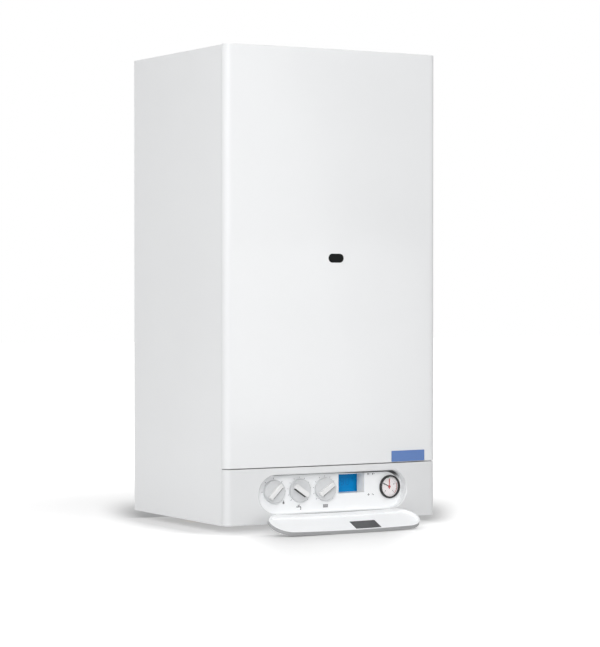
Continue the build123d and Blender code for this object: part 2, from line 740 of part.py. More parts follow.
def make_control_insert():
    """The recessed panel: a floor, the wall that meets the fascia, and the tunnel to the display."""
    floor_y = (FLOOR_Y, FLOOR_BACK_Y)
    insert = block(both(INSERT_W / 2), floor_y, (INSERT_LOW_Z, INSERT_TOP_Z))
    inner_w, inner_h = OPENING_W + 2 * RECESS_LAP, OPENING_H + 2 * RECESS_LAP
    reach = (FRONT_Y, FLOOR_Y)
    wall = oblong_y(inner_w + 2 * RECESS_WALL, inner_h + 2 * RECESS_WALL, 0, OPENING_Z, reach)
    wall -= oblong_y(inner_w, inner_h, 0, OPENING_Z, reach)
    wall &= front_prism(FASCIA_WALL + SEAT_GAP, FLOOR_Y + 1, (0, FASCIA_TOP_Z))
    clear_y = HINGE_Y + KNUCKLE_R + NOTCH_PLAY
    notch_z = (0, OPENING_Z - OPENING_H / 2 + NOTCH_PLAY)
    wall -= block(both(STRAIGHT, LUG_LEN + NOTCH_PLAY), (FRONT_Y, clear_y), notch_z)
    insert += wall
    tunnel_back = DISPLAY_Y - SEAT_GAP
    insert += block(around(DISPLAY_X, DISPLAY_W + 2 * TUNNEL_WALL), (FLOOR_Y, tunnel_back),
                    around(DISPLAY_Z, DISPLAY_H + 2 * TUNNEL_WALL))
    insert -= block(around(DISPLAY_X, DISPLAY_W), (FLOOR_Y, tunnel_back), around(DISPLAY_Z, DISPLAY_H))
    for x in knob_places().values():
        insert -= rod_y(STEM_R + STEM_HOLE_PLAY, x, floor_y, KNOB_Z)
    return insert - rod_y(GAUGE_BODY_R + SEAT_GAP, GAUGE_X, floor_y, GAUGE_Z)


def make_knob(x, turn):
    """A round knob with a raised grip bar and a pointer groove, on the stem that turns the switch."""
    back = FLOOR_Y - SEAT_GAP
    face = back - KNOB_DISC
    disc = rod_y(KNOB_R, x, (face, back), KNOB_Z)
    disc = chamfer(disc.edges().filter_by(GeomType.CIRCLE).sort_by(Axis.Y)[0], KNOB_CHAMFER)
    bar = oblong_y(KNOB_BAR_W, KNOB_BAR_L, x, KNOB_Z, (face - KNOB_BAR_H, face), KNOB_BAR_R)
    bar = fillet(bar.faces().sort_by(Axis.Y)[0].edges(), KNOB_FILLET)
    top = KNOB_Z + KNOB_BAR_L / 2
    groove = block(around(x, POINTER_W), (face - KNOB_BAR_H, face - KNOB_BAR_H + POINTER_DEEP),
                   (top - POINTER_L, top))
    stem = rod_y(STEM_R, x, (back, switch_front() + STEM_IN_SWITCH), KNOB_Z)
    return turned(disc + bar - groove, turn, x, KNOB_Z) + stem


def switch_front():
    return BOARD_Y - SWITCH_H


def make_control_switches():
    switches = []
    for x in knob_places().values():
        body = block(around(x, SWITCH_W), (switch_front(), BOARD_Y), around(KNOB_Z, SWITCH_W))
        depth = (switch_front(), switch_front() + STEM_IN_SWITCH + SEAT_GAP)
        switches.append(body - rod_y(STEM_R + RUNNING_FIT, x, depth, KNOB_Z))
    return switches


def make_display():
    return block(around(DISPLAY_X, DISPLAY_W + 2 * DISPLAY_LAP), (DISPLAY_Y, BOARD_Y),
                 around(DISPLAY_Z, DISPLAY_H + 2 * DISPLAY_LAP))


def make_circuit_board():
    return block((BOARD_LEFT_X, BOARD_RIGHT_X), (BOARD_Y, BOARD_Y + BOARD_T), (BOARD_LOW_Z, BOARD_TOP_Z))


def make_control_box():
    low = FRAME_LOW_Z + FRAME_SHEET
    box = block(both(BOX_HALF_W), (FLOOR_BACK_Y, BOX_BACK_Y), (low, BOX_TOP_Z))
    inner_z = (low + BOX_WALL, BOX_TOP_Z - BOX_WALL)
    box -= block(both(BOX_HALF_W, -BOX_WALL), (FLOOR_BACK_Y, BOX_BACK_Y - BOX_WALL), inner_z)
    for x in (BOARD_LEFT_X, BOARD_RIGHT_X):
        for z in (BOARD_LOW_Z, BOARD_TOP_Z):
            inward_x = x + 2 * STANDOFF_R * (1 if x < 0 else -1)
            inward_z = z + 2 * STANDOFF_R * (1 if z < DISPLAY_Z else -1)
            box += rod_y(STANDOFF_R, inward_x, (BOARD_Y + BOARD_T, BOX_BACK_Y - BOX_WALL / 2), inward_z)
    return box


# Gauge ---------------------------------------------------------------------------------------------


BEZEL_Y = FLOOR_Y - BEZEL_T
DIAL_Y = BEZEL_Y + DIAL_DEEP
GAUGE_POCKET_R = GAUGE_BODY_R - GAUGE_WALL


def make_gauge_case():
    """Bezel, body and the seat for the dial, with a lip that keeps the glass in."""
    case = rod_y(BEZEL_R, GAUGE_X, (BEZEL_Y, FLOOR_Y), GAUGE_Z)
    case = fillet(case.edges().filter_by(GeomType.CIRCLE).sort_by(Axis.Y)[0], GAUGE_WALL)
    case += rod_y(GAUGE_BODY_R, GAUGE_X, (FLOOR_Y, FLOOR_Y + GAUGE_BODY_L), GAUGE_Z)
    case -= rod_y(BEZEL_R - BEZEL_LIP, GAUGE_X, (BEZEL_Y - 1, BEZEL_Y + GAUGE_WALL), GAUGE_Z)
    case -= rod_y(GAUGE_POCKET_R, GAUGE_X, (BEZEL_Y + GAUGE_WALL, DIAL_Y + DIAL_T), GAUGE_Z)
    back = FLOOR_Y + GAUGE_BODY_L - 2 * GAUGE_WALL
    return case - rod_y(GAUGE_POCKET_R - DIAL_SEAT, GAUGE_X, (DIAL_Y, back), GAUGE_Z)


def make_gauge_glass():
    radius = GAUGE_POCKET_R - GAUGE_GLASS_PLAY
    front = BEZEL_Y + GAUGE_WALL + GAUGE_GLASS_PLAY
    return rod_y(radius, GAUGE_X, (front, front + GAUGE_GLASS_T), GAUGE_Z)


def make_gauge_dial():
    disc = rod_y(GAUGE_POCKET_R - GAUGE_GLASS_PLAY, GAUGE_X, (DIAL_Y, DIAL_Y + DIAL_T), GAUGE_Z)
    return disc - rod_y(HAND_PIN_R + RUNNING_FIT, GAUGE_X, (DIAL_Y, DIAL_Y + DIAL_T), GAUGE_Z)


def hand(back, tail):
    """A flat hand pointing straight up, HAND_T thick, in front of the place given."""
    low = GAUGE_Z - tail
    blade = block(around(GAUGE_X, HAND_W), (back - HAND_T, back), (low, GAUGE_Z + HAND_L))
    return blade + rod_y(HAND_HUB_R, GAUGE_X, (back - HAND_T, back), GAUGE_Z)


def make_gauge_set_hand():
    back = DIAL_Y - HAND_GAP
    bore = rod_y(HAND_PIN_R + RUNNING_FIT, GAUGE_X, (back - HAND_T, back), GAUGE_Z)
    return turned(hand(back, 0) - bore, SET_HAND_TURN, GAUGE_X, GAUGE_Z)


def make_gauge_needle():
    back = DIAL_Y - 2 * HAND_GAP - HAND_T
    pin = rod_y(HAND_PIN_R, GAUGE_X, (back - HAND_T, DIAL_Y + 2 * DIAL_T), GAUGE_Z)
    return hand(back, HAND_TAIL) + pin


# Sealed chamber ------------------------------------------------------------------------------------


def make_air_chamber():
    wall, z = SHEET, (CHAMBER_LOW_Z, CHAMBER_TOP_Z)
    box = block(both(CHAMBER_HALF_W), (CHAMBER_FRONT_Y, CHAMBER_BACK_Y), z)
    inner_y = (CHAMBER_FRONT_Y + wall, CHAMBER_BACK_Y - wall)
    box -= block(both(CHAMBER_HALF_W, -wall), inner_y, (z[0] + wall, z[1] - wall))
    mouth_z = (z[0] + CHAMBER_FLANGE, z[1] - CHAMBER_FLANGE)
    box -= block(both(CHAMBER_HALF_W, -CHAMBER_FLANGE), (CHAMBER_FRONT_Y, CHAMBER_FRONT_Y + wall), mouth_z)
    for side in (-1, 1):
        box -= rod_z(PIPE_R + PASS_PLAY, side * PIPE_X, STACK_Y, (z[0], z[0] + wall))
    box -= rod_z(RISER_R + PASS_PLAY, 0, MANIFOLD_Y, (z[0], z[0] + wall))
    box -= rod_z(COLLAR_R + COLLAR_WALL + COLLAR_PLAY, 0, STACK_Y, (z[1] - wall, z[1]))
    for x, height in cover_screw_places():
        box -= rod_y(COVER_SCREW_R + PASS_PLAY, x, (CHAMBER_FRONT_Y, CHAMBER_FRONT_Y + wall), height)
    return box


def cover_screw_places():
    low = CHAMBER_LOW_Z + COVER_SCREW_EDGE
    step = (CHAMBER_TOP_Z - COVER_SCREW_EDGE - low) / (COVER_SCREW_ROWS - 1)
    x = CHAMBER_HALF_W - COVER_SCREW_EDGE
    return [(side * x, low + step * n) for side in (-1, 1) for n in range(COVER_SCREW_ROWS)]


def make_chamber_cover():
    y = (CHAMBER_FRONT_Y - COVER_T, CHAMBER_FRONT_Y)
    cover = block(both(CHAMBER_HALF_W), y, (CHAMBER_LOW_Z, CHAMBER_TOP_Z))
    for x, height in cover_screw_places():
        cover -= rod_y(COVER_SCREW_R + PASS_PLAY, x, y, height)
    return cover - rod_y(COVER_HOLE_R, SIGHT_X, y, SIGHT_Z)


def make_cover_screws():
    screws = []
    head_y = (CHAMBER_FRONT_Y - COVER_T - COVER_SCREW_HEAD_T, CHAMBER_FRONT_Y - COVER_T)
    for x, height in cover_screw_places():
        head = rod_y(COVER_SCREW_HEAD_R, x, head_y, height)
        head -= block(around(x, 2 * COVER_SCREW_R), (head_y[0], head_y[0] + SHEET), around(height, SHEET))
        shank = rod_y(COVER_SCREW_R, x, (head_y[1], head_y[1] + COVER_SCREW_L), height)
        screws.append(head + shank)
    return screws


def make_chamber_sight_glass():
    front = CHAMBER_FRONT_Y - COVER_T
    glass = rod_y(COVER_SIGHT_R, SIGHT_X, (front - COVER_SIGHT_T, front), SIGHT_Z)
    return glass + rod_y(COVER_HOLE_R - SEAT_GAP, SIGHT_X, (front, CHAMBER_FRONT_Y), SIGHT_Z)


def front_wall_holes(depth):
    """Holes through the front wall of the combustion chamber: one to look through, one for each electrode."""
    holes = rod_y(SPY_HOLE_R, SIGHT_X, depth, SIGHT_Z)
    for x in ELECTRODE_X:
        holes += rod_y(ELECTRODE_R + FIXED_FIT, x, depth, ELECTRODE_Z)
    return holes


def make_combustion_chamber():
    z = (COMBUSTION_LOW_Z, EXCHANGER_LOW_Z)
    y = (STACK_FRONT_Y, STACK_BACK_Y)
    walls = block(both(STACK_HALF_W), y, z)
    walls -= block(both(STACK_HALF_W, -STACK_SHEET), (y[0] + STACK_SHEET, y[1] - STACK_SHEET), z)
    return walls - front_wall_holes((y[0], y[0] + STACK_SHEET))


def make_insulation():
    gap = STACK_SHEET + SEAT_GAP
    z = (COMBUSTION_LOW_Z, EXCHANGER_LOW_Z)
    y = (STACK_FRONT_Y + gap, STACK_BACK_Y - gap)
    inner_y = (y[0] + INSULATION_T, y[1] - INSULATION_T)
    liner = block(both(STACK_HALF_W, -gap), y, z)
    liner -= block(both(STACK_HALF_W, -gap - INSULATION_T), inner_y, z)
    return liner - front_wall_holes((y[0], inner_y[0]))


def blade_places():
    first = -BLADE_PITCH * (BLADE_COUNT - 1) / 2
    return [first + BLADE_PITCH * n for n in range(BLADE_COUNT)]


def make_burner():
    """A deck plate with a rack of flat burner blades through it, each with its gas mouth at the front."""
    deck_z = (BURNER_DECK_Z, COMBUSTION_LOW_Z)
    y = (STACK_FRONT_Y, STACK_BACK_Y)
    inset = STACK_SHEET + SEAT_GAP + INSULATION_T
    hole_y = (y[0] + inset, y[1] - inset)
    deck = block(both(STACK_HALF_W), y, deck_z)
    deck -= block(both(STACK_HALF_W, -inset), hole_y, deck_z)
    low_y = (y[0] + BLADE_MARGIN, y[1] - BLADE_MARGIN)
    high_y = (hole_y[0] + BLADE_MARGIN, hole_y[1] - BLADE_MARGIN)
    bar_z = (BLADE_LOW_Z + BURNER_BAR, BURNER_DECK_Z)
    for end in (low_y[0], low_y[1] - BURNER_BAR):
        deck += block(both(STACK_HALF_W, -BURNER_BAR), (end, end + BURNER_BAR), bar_z)
    for x in blade_places():
        deck += block(around(x, BLADE_W), low_y, (BLADE_LOW_Z, BURNER_DECK_Z))
        deck += block(around(x, BLADE_W), high_y, (BURNER_DECK_Z, BLADE_TOP_Z))
    for x in blade_places():
        deck -= hollow_blade(x, low_y, high_y)
    return deck


def hollow_blade(x, low_y, high_y):
    """The space inside a blade, its gas mouth and the flame slot along its top."""
    wall, width = BLADE_WALL, around(x, BLADE_W - 2 * BLADE_WALL)
    floor_z, inner_y = BLADE_LOW_Z + wall, (high_y[0] + wall, high_y[1] - wall)
    space = block(width, (low_y[0] + wall, low_y[1] - wall), (floor_z, BURNER_DECK_Z - wall))
    space += block(width, inner_y, (floor_z, BLADE_TOP_Z - wall))
    space += block(around(x, BLADE_SLOT), inner_y, (floor_z, BLADE_TOP_Z))
    return space + rod_y(MOUTH_R, x, (low_y[0], low_y[0] + MOUTH_DEEP), MANIFOLD_Z)


def make_gas_manifold():
    half = BLADE_PITCH * BLADE_COUNT / 2
    bar = rod_x(MANIFOLD_R, both(half), MANIFOLD_Y, MANIFOLD_Z)
    bar -= rod_x(MANIFOLD_R - MANIFOLD_WALL, both(half, -MANIFOLD_WALL), MANIFOLD_Y, MANIFOLD_Z)
    bar -= rod_z(RISER_R + RUNNING_FIT, 0, MANIFOLD_Y, (MANIFOLD_Z - MANIFOLD_R, MANIFOLD_Z))
    for x in blade_places():
        bar -= rod_y(INJECTOR_R + RUNNING_FIT, x, (MANIFOLD_Y, MANIFOLD_Y + MANIFOLD_R), MANIFOLD_Z)
    return bar


def make_injectors():
    tip = STACK_FRONT_Y + BLADE_MARGIN - INJECTOR_STANDOFF
    root = MANIFOLD_Y + MANIFOLD_R - INJECTOR_GRIP
    return [rod_y(INJECTOR_R, x, (root, tip), MANIFOLD_Z) for x in blade_places()]


def make_electrodes():
    pieces = []
    inner = STACK_FRONT_Y + STACK_SHEET + SEAT_GAP + INSULATION_T
    for x in ELECTRODE_X:
        ceramic = rod_y(ELECTRODE_R, x, (STACK_FRONT_Y - ELECTRODE_FRONT, inner), ELECTRODE_Z)
        pieces.append(ceramic + rod_y(ELECTRODE_TIP_R, x, (inner, inner + ELECTRODE_TIP), ELECTRODE_Z))
    return pieces


def make_heat_exchanger():
    """A finned block: a frame, fins, the water tubes across them and a header at each side."""
    z = (EXCHANGER_LOW_Z, HOOD_LOW_Z)
    y = (STACK_FRONT_Y, STACK_BACK_Y)
    inner_y = (y[0] + STACK_SHEET, y[1] - STACK_SHEET)
    frame = block(both(STACK_HALF_W), y, z) - block(both(STACK_HALF_W, -STACK_SHEET), inner_y, z)
    step = 2 * STACK_HALF_W / (FIN_COUNT + 1)
    for n in range(1, FIN_COUNT + 1):
        frame += block(around(n * step - STACK_HALF_W, FIN_T), inner_y, z)
    middle = (z[0] + z[1]) / 2
    tube_step = STACK_D / TUBE_COUNT
    for n in range(TUBE_COUNT):
        tube_y = STACK_FRONT_Y + tube_step * (n + 0.5)
        frame += rod_x(TUBE_R, both(STACK_HALF_W), tube_y, middle)
    for side in (-1, 1):
        outer = (side * STACK_HALF_W, side * (STACK_HALF_W + HEADER_W))
        frame += block(outer, around(STACK_Y, HEADER_D), (HEADER_LOW_Z, HEADER_LOW_Z + HEADER_H))
    return frame


def make_flue_hood():
    """Gathers the flue gas from the exchanger and leads it up behind the fan, to the fan's eye."""
    wall, y = STACK_SHEET, (STACK_FRONT_Y, STACK_BACK_Y)

    def shape(shrink):
        half, top = STACK_HALF_W - shrink, HOOD_TOP_HALF_W - shrink
        outline = Polyline((-half, HOOD_LOW_Z), (half, HOOD_LOW_Z), (half, HOOD_LOW_Z + HOOD_LEDGE),
                           (top, HOOD_TOP_Z - shrink), (-top, HOOD_TOP_Z - shrink),
                           (-half, HOOD_LOW_Z + HOOD_LEDGE), close=True)
        return Pos(0, y[1] - shrink, 0) * extrude(Plane.XZ * make_face(outline), STACK_D - 2 * shrink)

    width = around(FAN_X, 2 * CHIMNEY_HALF_W)
    inner = around(FAN_X, 2 * (CHIMNEY_HALF_W - wall))
    front = scroll_y()[1]
    hood = shape(0) + block(width, (front, y[1]), (HOOD_TOP_Z - wall, CHIMNEY_TOP_Z))
    hood -= shape(wall)
    hood -= block(inner, (front + wall, y[1] - wall), (HOOD_TOP_Z - 2 * wall, CHIMNEY_TOP_Z - wall))
    return hood - rod_y(FAN_EYE_R, FAN_X, (front, front + wall), FAN_Z)


def scroll_y():
    return around(STACK_Y, SCROLL_T)


def make_fan_housing():
    """The scroll, its foot on the hood, and the outlet that turns into the flue spigot."""
    wall, y = SCROLL_WALL, scroll_y()
    inner_y = (y[0] + wall, y[1] - wall)
    shell = rod_y(SCROLL_R, FAN_X, y, FAN_Z)
    shell += block(around(FAN_X, 2 * SCROLL_FOOT_HALF_W), y, (HOOD_TOP_Z, FAN_Z))
    shell += block(both(OUTLET_HALF_W), y, (FAN_Z, SPIGOT_LOW_Z + wall))
    shell += rod_z(SPIGOT_R + SPIGOT_FLANGE, 0, STACK_Y, (SPIGOT_LOW_Z, SPIGOT_LOW_Z + wall))
    shell += rod_z(SPIGOT_R, 0, STACK_Y, (SPIGOT_LOW_Z + wall, SPIGOT_TOP_Z))
    shell -= rod_y(SCROLL_R - wall, FAN_X, inner_y, FAN_Z)
    shell -= block(both(OUTLET_HALF_W, -wall), inner_y, (FAN_Z, SPIGOT_LOW_Z))
    throat = rod_z(OUTLET_HALF_W - wall, 0, STACK_Y, (SPIGOT_LOW_Z - wall, SPIGOT_LOW_Z + wall))
    shell -= throat & block(both(SPIGOT_R), inner_y, (SPIGOT_LOW_Z - wall, SPIGOT_LOW_Z + wall))
    shell -= rod_z(SPIGOT_R - SPIGOT_WALL, 0, STACK_Y, (SPIGOT_LOW_Z + wall, SPIGOT_TOP_Z))
    shell -= rod_y(FAN_EYE_R, FAN_X, (inner_y[1], y[1]), FAN_Z)
    return shell - rod_y(SHAFT_HOLE_R, FAN_X, (y[0], inner_y[0]), FAN_Z)


def make_fan_rotor():
    front = scroll_y()[0] + SCROLL_WALL + ROTOR_PLAY
    back = front + ROTOR_T
    wheel = rod_y(ROTOR_R, FAN_X, (front, front + ROTOR_DISC_T), FAN_Z)
    ring = rod_y(ROTOR_R, FAN_X, (back - ROTOR_DISC_T, back), FAN_Z)
    wheel += ring - rod_y(ROTOR_R - ROTOR_BLADE_L, FAN_X, (back - ROTOR_DISC_T, back), FAN_Z)
    tip_z = FAN_Z + ROTOR_R - ROTOR_BLADE_T / 2
    blade = block(around(FAN_X, ROTOR_BLADE_T), (front, back), (tip_z - ROTOR_BLADE_L, tip_z))
    for n in range(ROTOR_BLADES):
        wheel += turned(blade, 360 / ROTOR_BLADES * n, FAN_X, FAN_Z)
    wheel += rod_y(ROTOR_HUB_R, FAN_X, (front, front + ROTOR_HUB_T), FAN_Z)
    return wheel + rod_y(SHAFT_R, FAN_X, (scroll_y()[0] - SHAFT_IN_MOTOR, front), FAN_Z)


def make_fan_motor():
    back = scroll_y()[0]
    body = rod_y(MOTOR_R, FAN_X, (back - MOTOR_L, back), FAN_Z)
    for n in range(1, MOTOR_RIBS + 1):
        rib = back - MOTOR_L * n / (MOTOR_RIBS + 1)
        ring = rod_y(MOTOR_R, FAN_X, around(rib, 2 * MOTOR_RIB), FAN_Z)
        body -= ring - rod_y(MOTOR_R - MOTOR_RIB, FAN_X, around(rib, 2 * MOTOR_RIB), FAN_Z)
    return body - rod_y(SHAFT_R + RUNNING_FIT, FAN_X, (back - SHAFT_IN_MOTOR - SEAT_GAP, back), FAN_Z)


def make_flue_collar():
    """The air collar: its flange lies on the top panel, its neck dips into the sealed chamber."""
    neck_z = (CHAMBER_TOP_Z - SHEET - COLLAR_DIP, COLLAR_TOP_Z)
    collar = rod_z(COLLAR_R + COLLAR_WALL, 0, STACK_Y, neck_z)
    collar += rod_z(COLLAR_FLANGE_R, 0, STACK_Y, (SIDE_TOP_Z, SIDE_TOP_Z + COLLAR_FLANGE_T))
    return collar - rod_z(COLLAR_R, 0, STACK_Y, neck_z)


def make_expansion_vessel():
    """A flat round vessel: two domed halves and the rim that joins them, with its port at the bottom."""
    y = (-PAN_DEPTH - VESSEL_T, -PAN_DEPTH)
    middle = (y[0] + y[1]) / 2

    def cushion(shrink):
        body = rod_y(VESSEL_R - shrink, 0, (y[0] + shrink, y[1] - shrink), VESSEL_Z)
        return fillet(body.edges().filter_by(GeomType.CIRCLE), VESSEL_EDGE_R - shrink)

    body = cushion(0)
    body += rod_y(VESSEL_R + VESSEL_RIM, 0, around(middle, VESSEL_RIM), VESSEL_Z)
    port = (VESSEL_PORT_LOW_Z, VESSEL_PORT_LOW_Z + 2 * VESSEL_PORT_L)
    body += rod_z(VESSEL_PORT_R, VESSEL_PORT_X, middle, port)
    body -= cushion(VESSEL_WALL)
    return body - rod_z(VESSEL_PIPE_BORE_R, VESSEL_PORT_X, middle, port)


# Water and gas side --------------------------------------------------------------------------------


def nipple(x, thread, tube, top):
    """A threaded end below the casing and the tube from it up to its block, without its bore."""
    spout = rod_z(tube, x, CONNECTION_Y, (CONNECTION_LOW_Z, top))
    return spout + rod_z(thread, x, CONNECTION_Y, (CONNECTION_LOW_Z, CONNECTION_LOW_Z + THREAD_L))


def water_block(side, cross_z, outlet_r):
    """Two upright barrels joined by a cross barrel, flanged to the plate exchanger; side is -1 or 1."""
    outer_x, inner_x = side * PIPE_X, side * PITCH
    body = rod_z(BLOCK_LARGE_R, outer_x, CONNECTION_Y, (SHELF_TOP_Z, BLOCK_TOP_Z))
    body += rod_z(BLOCK_SMALL_R, inner_x, CONNECTION_Y, (SHELF_TOP_Z, BLOCK_SMALL_TOP_Z))
    body += rod_x(CROSS_R, (outer_x, inner_x), CONNECTION_Y, cross_z)
    for level in (PORT_LOW_Z, PORT_LOW_Z + PORT_RISE):
        body += rod_y(PORT_R, side * PORT_X, (CONNECTION_Y, PLATES_FRONT_Y), level)
    body += nipple(outer_x, THREAD_LARGE_R, TUBE_LARGE_R, SHELF_TOP_Z)
    body += nipple(inner_x, THREAD_SMALL_R, TUBE_SMALL_R, SHELF_TOP_Z)
    floor_z = SHELF_TOP_Z + BLOCK_WALL
    barrels = ((outer_x, BLOCK_LARGE_R, BLOCK_TOP_Z), (inner_x, BLOCK_SMALL_R, BLOCK_SMALL_TOP_Z))
    for x, radius, top in barrels:
        body -= rod_z(TUBE_BORE_R, x, CONNECTION_Y, (CONNECTION_LOW_Z, floor_z))
        body -= rod_z(radius - BLOCK_WALL, x, CONNECTION_Y, (floor_z, top - BLOCK_WALL))
    return body - rod_z(outlet_r, outer_x, CONNECTION_Y, (BLOCK_TOP_Z - BLOCK_WALL, BLOCK_TOP_Z))


def make_flow_block():
    body = water_block(-1, FLOW_CROSS_Z, PIPE_BORE_R)
    body += rod_y(DIVERTER_R, DIVERTER_X, (DIVERTER_FRONT_Y, CONNECTION_Y), FLOW_CROSS_Z)
    depth = (DIVERTER_FRONT_Y, DIVERTER_FRONT_Y + SPINDLE_IN_BLOCK + SPINDLE_STROKE + SEAT_GAP)
    return body - rod_y(SPINDLE_R + RUNNING_FIT, DIVERTER_X, depth, FLOW_CROSS_Z)


def make_return_block():
    body = water_block(1, RETURN_CROSS_Z, VESSEL_PIPE_BORE_R)
    body += rod_y(PUMP_SEAT_R, PUMP_X, (PUMP_BACK_Y, CONNECTION_Y), PUMP_Z)
    body += rod_z(BLOCK_SMALL_R, PUMP_X, CONNECTION_Y, (RETURN_CROSS_Z, PUMP_Z))
    body += rod_y(SAFETY_R, SAFETY_X, (PUMP_BACK_Y, CONNECTION_Y), SAFETY_Z)
    body += rod_z(TAP_BOSS_R, TAP_X, CONNECTION_Y, (TAP_LOW_Z, RETURN_CROSS_Z))
    bore = (TAP_LOW_Z, TAP_LOW_Z + TAP_STEM_IN + SEAT_GAP)
    return body - rod_z(TAP_STEM_R + RUNNING_FIT, TAP_X, CONNECTION_Y, bore)


def make_plate_exchanger():
    y = (PLATES_FRONT_Y, PLATES_FRONT_Y + PLATES_T)
    z = (PORT_LOW_Z - PLATES_MARGIN, PORT_LOW_Z + PORT_RISE + PLATES_MARGIN)
    stack = fillet(block(both(PLATES_HALF_W), y, z).edges().filter_by(Axis.Y), PLATES_MARGIN / 2)
    step = PLATES_T / PLATE_COUNT
    inner_z = (z[0] + PLATE_GROOVE_DEEP, z[1] - PLATE_GROOVE_DEEP)
    for n in range(1, PLATE_COUNT):
        level = around(y[0] + n * step, PLATE_GROOVE)
        band = block(both(PLATES_HALF_W, 1), level, (z[0] - 1, z[1] + 1))
        core = block(both(PLATES_HALF_W, -PLATE_GROOVE_DEEP), level, inner_z)
        core = fillet(core.edges().filter_by(Axis.Y), PLATES_MARGIN / 2)
        stack -= band - core
    return stack


def make_diverter_actuator():
    y = (DIVERTER_FRONT_Y - ACTUATOR_L, DIVERTER_FRONT_Y)
    body = block(around(DIVERTER_X, 2 * ACTUATOR_HALF_W), y, (ACTUATOR_LOW_Z, ACTUATOR_TOP_Z))
    body = fillet(body.edges().filter_by(Axis.Y), ACTUATOR_EDGE_R)
    depth = (DIVERTER_FRONT_Y - SPINDLE_IN_ACTUATOR - SEAT_GAP, DIVERTER_FRONT_Y)
    return body - rod_y(SPINDLE_R + RUNNING_FIT, DIVERTER_X, depth, FLOW_CROSS_Z)


def make_diverter_spindle():
    ends = (DIVERTER_FRONT_Y - SPINDLE_IN_ACTUATOR, DIVERTER_FRONT_Y + SPINDLE_IN_BLOCK)
    return rod_y(SPINDLE_R, DIVERTER_X, ends, FLOW_CROSS_Z)


def volute_y():
    return (PUMP_BACK_Y - VOLUTE_T, PUMP_BACK_Y)


def make_pump_housing():
    y = volute_y()
    body = rod_y(VOLUTE_R, PUMP_X, y, PUMP_Z)
    outlet_x = PIPE_X
    middle = (y[0] + y[1]) / 2
    body += rod_z(PUMP_OUTLET_R, outlet_x, middle, (PUMP_Z, PUMP_OUTLET_TOP_Z))
    body -= rod_y(VOLUTE_R - VOLUTE_WALL, PUMP_X, (y[0], y[1] - VOLUTE_WALL), PUMP_Z)
    return body - rod_z(PIPE_BORE_R, outlet_x, middle, (PUMP_Z, PUMP_OUTLET_TOP_Z))


def make_pump_motor():
    back = volute_y()[0]
    body = rod_y(PUMP_MOTOR_R, PUMP_X, (back - PUMP_MOTOR_L, back), PUMP_Z)
    body = chamfer(body.edges().filter_by(GeomType.CIRCLE).sort_by(Axis.Y)[0], PUMP_MOTOR_EDGE)
    body += rod_y(VOLUTE_R, PUMP_X, (back - TERMINAL_BOX_H, back), PUMP_Z)
    box_y = (back - TERMINAL_BOX_H - TERMINAL_BOX_L, back - TERMINAL_BOX_H)
    box_z = (PUMP_Z, PUMP_Z + PUMP_MOTOR_R + TERMINAL_BOX_H)
    body += block(around(PUMP_X, 2 * TERMINAL_BOX_HALF_W), box_y, box_z)
    bore = (back - IMPELLER_IN_MOTOR - SEAT_GAP, back)
    return body - rod_y(IMPELLER_SHAFT_R + RUNNING_FIT, PUMP_X, bore, PUMP_Z)


def make_pump_impeller():
    front = volute_y()[0] + IMPELLER_PLAY
    back = front + IMPELLER_T
    wheel = rod_y(IMPELLER_R, PUMP_X, (front, front + IMPELLER_DISC_T), PUMP_Z)
    vane_z = (PUMP_Z, PUMP_Z + IMPELLER_R - IMPELLER_DISC_T)
    vane = block(around(PUMP_X, IMPELLER_DISC_T), (front, back), vane_z)
    for n in range(IMPELLER_VANES):
        wheel += turned(vane, 360 / IMPELLER_VANES * n, PUMP_X, PUMP_Z)
    return wheel + rod_y(IMPELLER_SHAFT_R, PUMP_X, (volute_y()[0] - IMPELLER_IN_MOTOR, back), PUMP_Z)


def make_air_vent():
    top = BLOCK_SMALL_TOP_Z + VENT_H
    body = rod_z(VENT_R, PITCH, CONNECTION_Y, (BLOCK_SMALL_TOP_Z, top))
    body = fillet(body.edges().filter_by(GeomType.CIRCLE).sort_by(Axis.Z)[-1], VENT_CAP_R)
    return body + rod_z(VENT_CAP_R, PITCH, CONNECTION_Y, (top, top + VENT_CAP_H))


def make_safety_valve():
    body = rod_y(SAFETY_R, SAFETY_X, (SAFETY_FRONT_Y, PUMP_BACK_Y), SAFETY_Z)
    middle = (SAFETY_FRONT_Y + PUMP_BACK_Y) / 2
    body += rod_z(SAFETY_OUTLET_R, SAFETY_X, middle, (SAFETY_Z - SAFETY_OUTLET_L, SAFETY_Z))
    bore = (SAFETY_FRONT_Y, SAFETY_FRONT_Y + SAFETY_STEM_L + SEAT_GAP)
    return body - rod_y(SAFETY_STEM_R + RUNNING_FIT, SAFETY_X, bore, SAFETY_Z)


def flutes(radius):
    """Places of the grip flutes round a knob of the given radius, as (across, up)."""
    step = radians(360 / KNOB_FLUTES)
    return [(radius * cos(n * step), radius * sin(n * step)) for n in range(KNOB_FLUTES)]


def make_safety_valve_knob():
    y = (SAFETY_FRONT_Y - SEAT_GAP - SAFETY_KNOB_T, SAFETY_FRONT_Y - SEAT_GAP)
    knob = rod_y(SAFETY_KNOB_R, SAFETY_X, y, SAFETY_Z)
    for across, up in flutes(SAFETY_KNOB_R):
        knob -= rod_y(FLUTE_R, SAFETY_X + across, y, SAFETY_Z + up)
    return knob + rod_y(SAFETY_STEM_R, SAFETY_X, (y[1], SAFETY_FRONT_Y + SAFETY_STEM_L), SAFETY_Z)


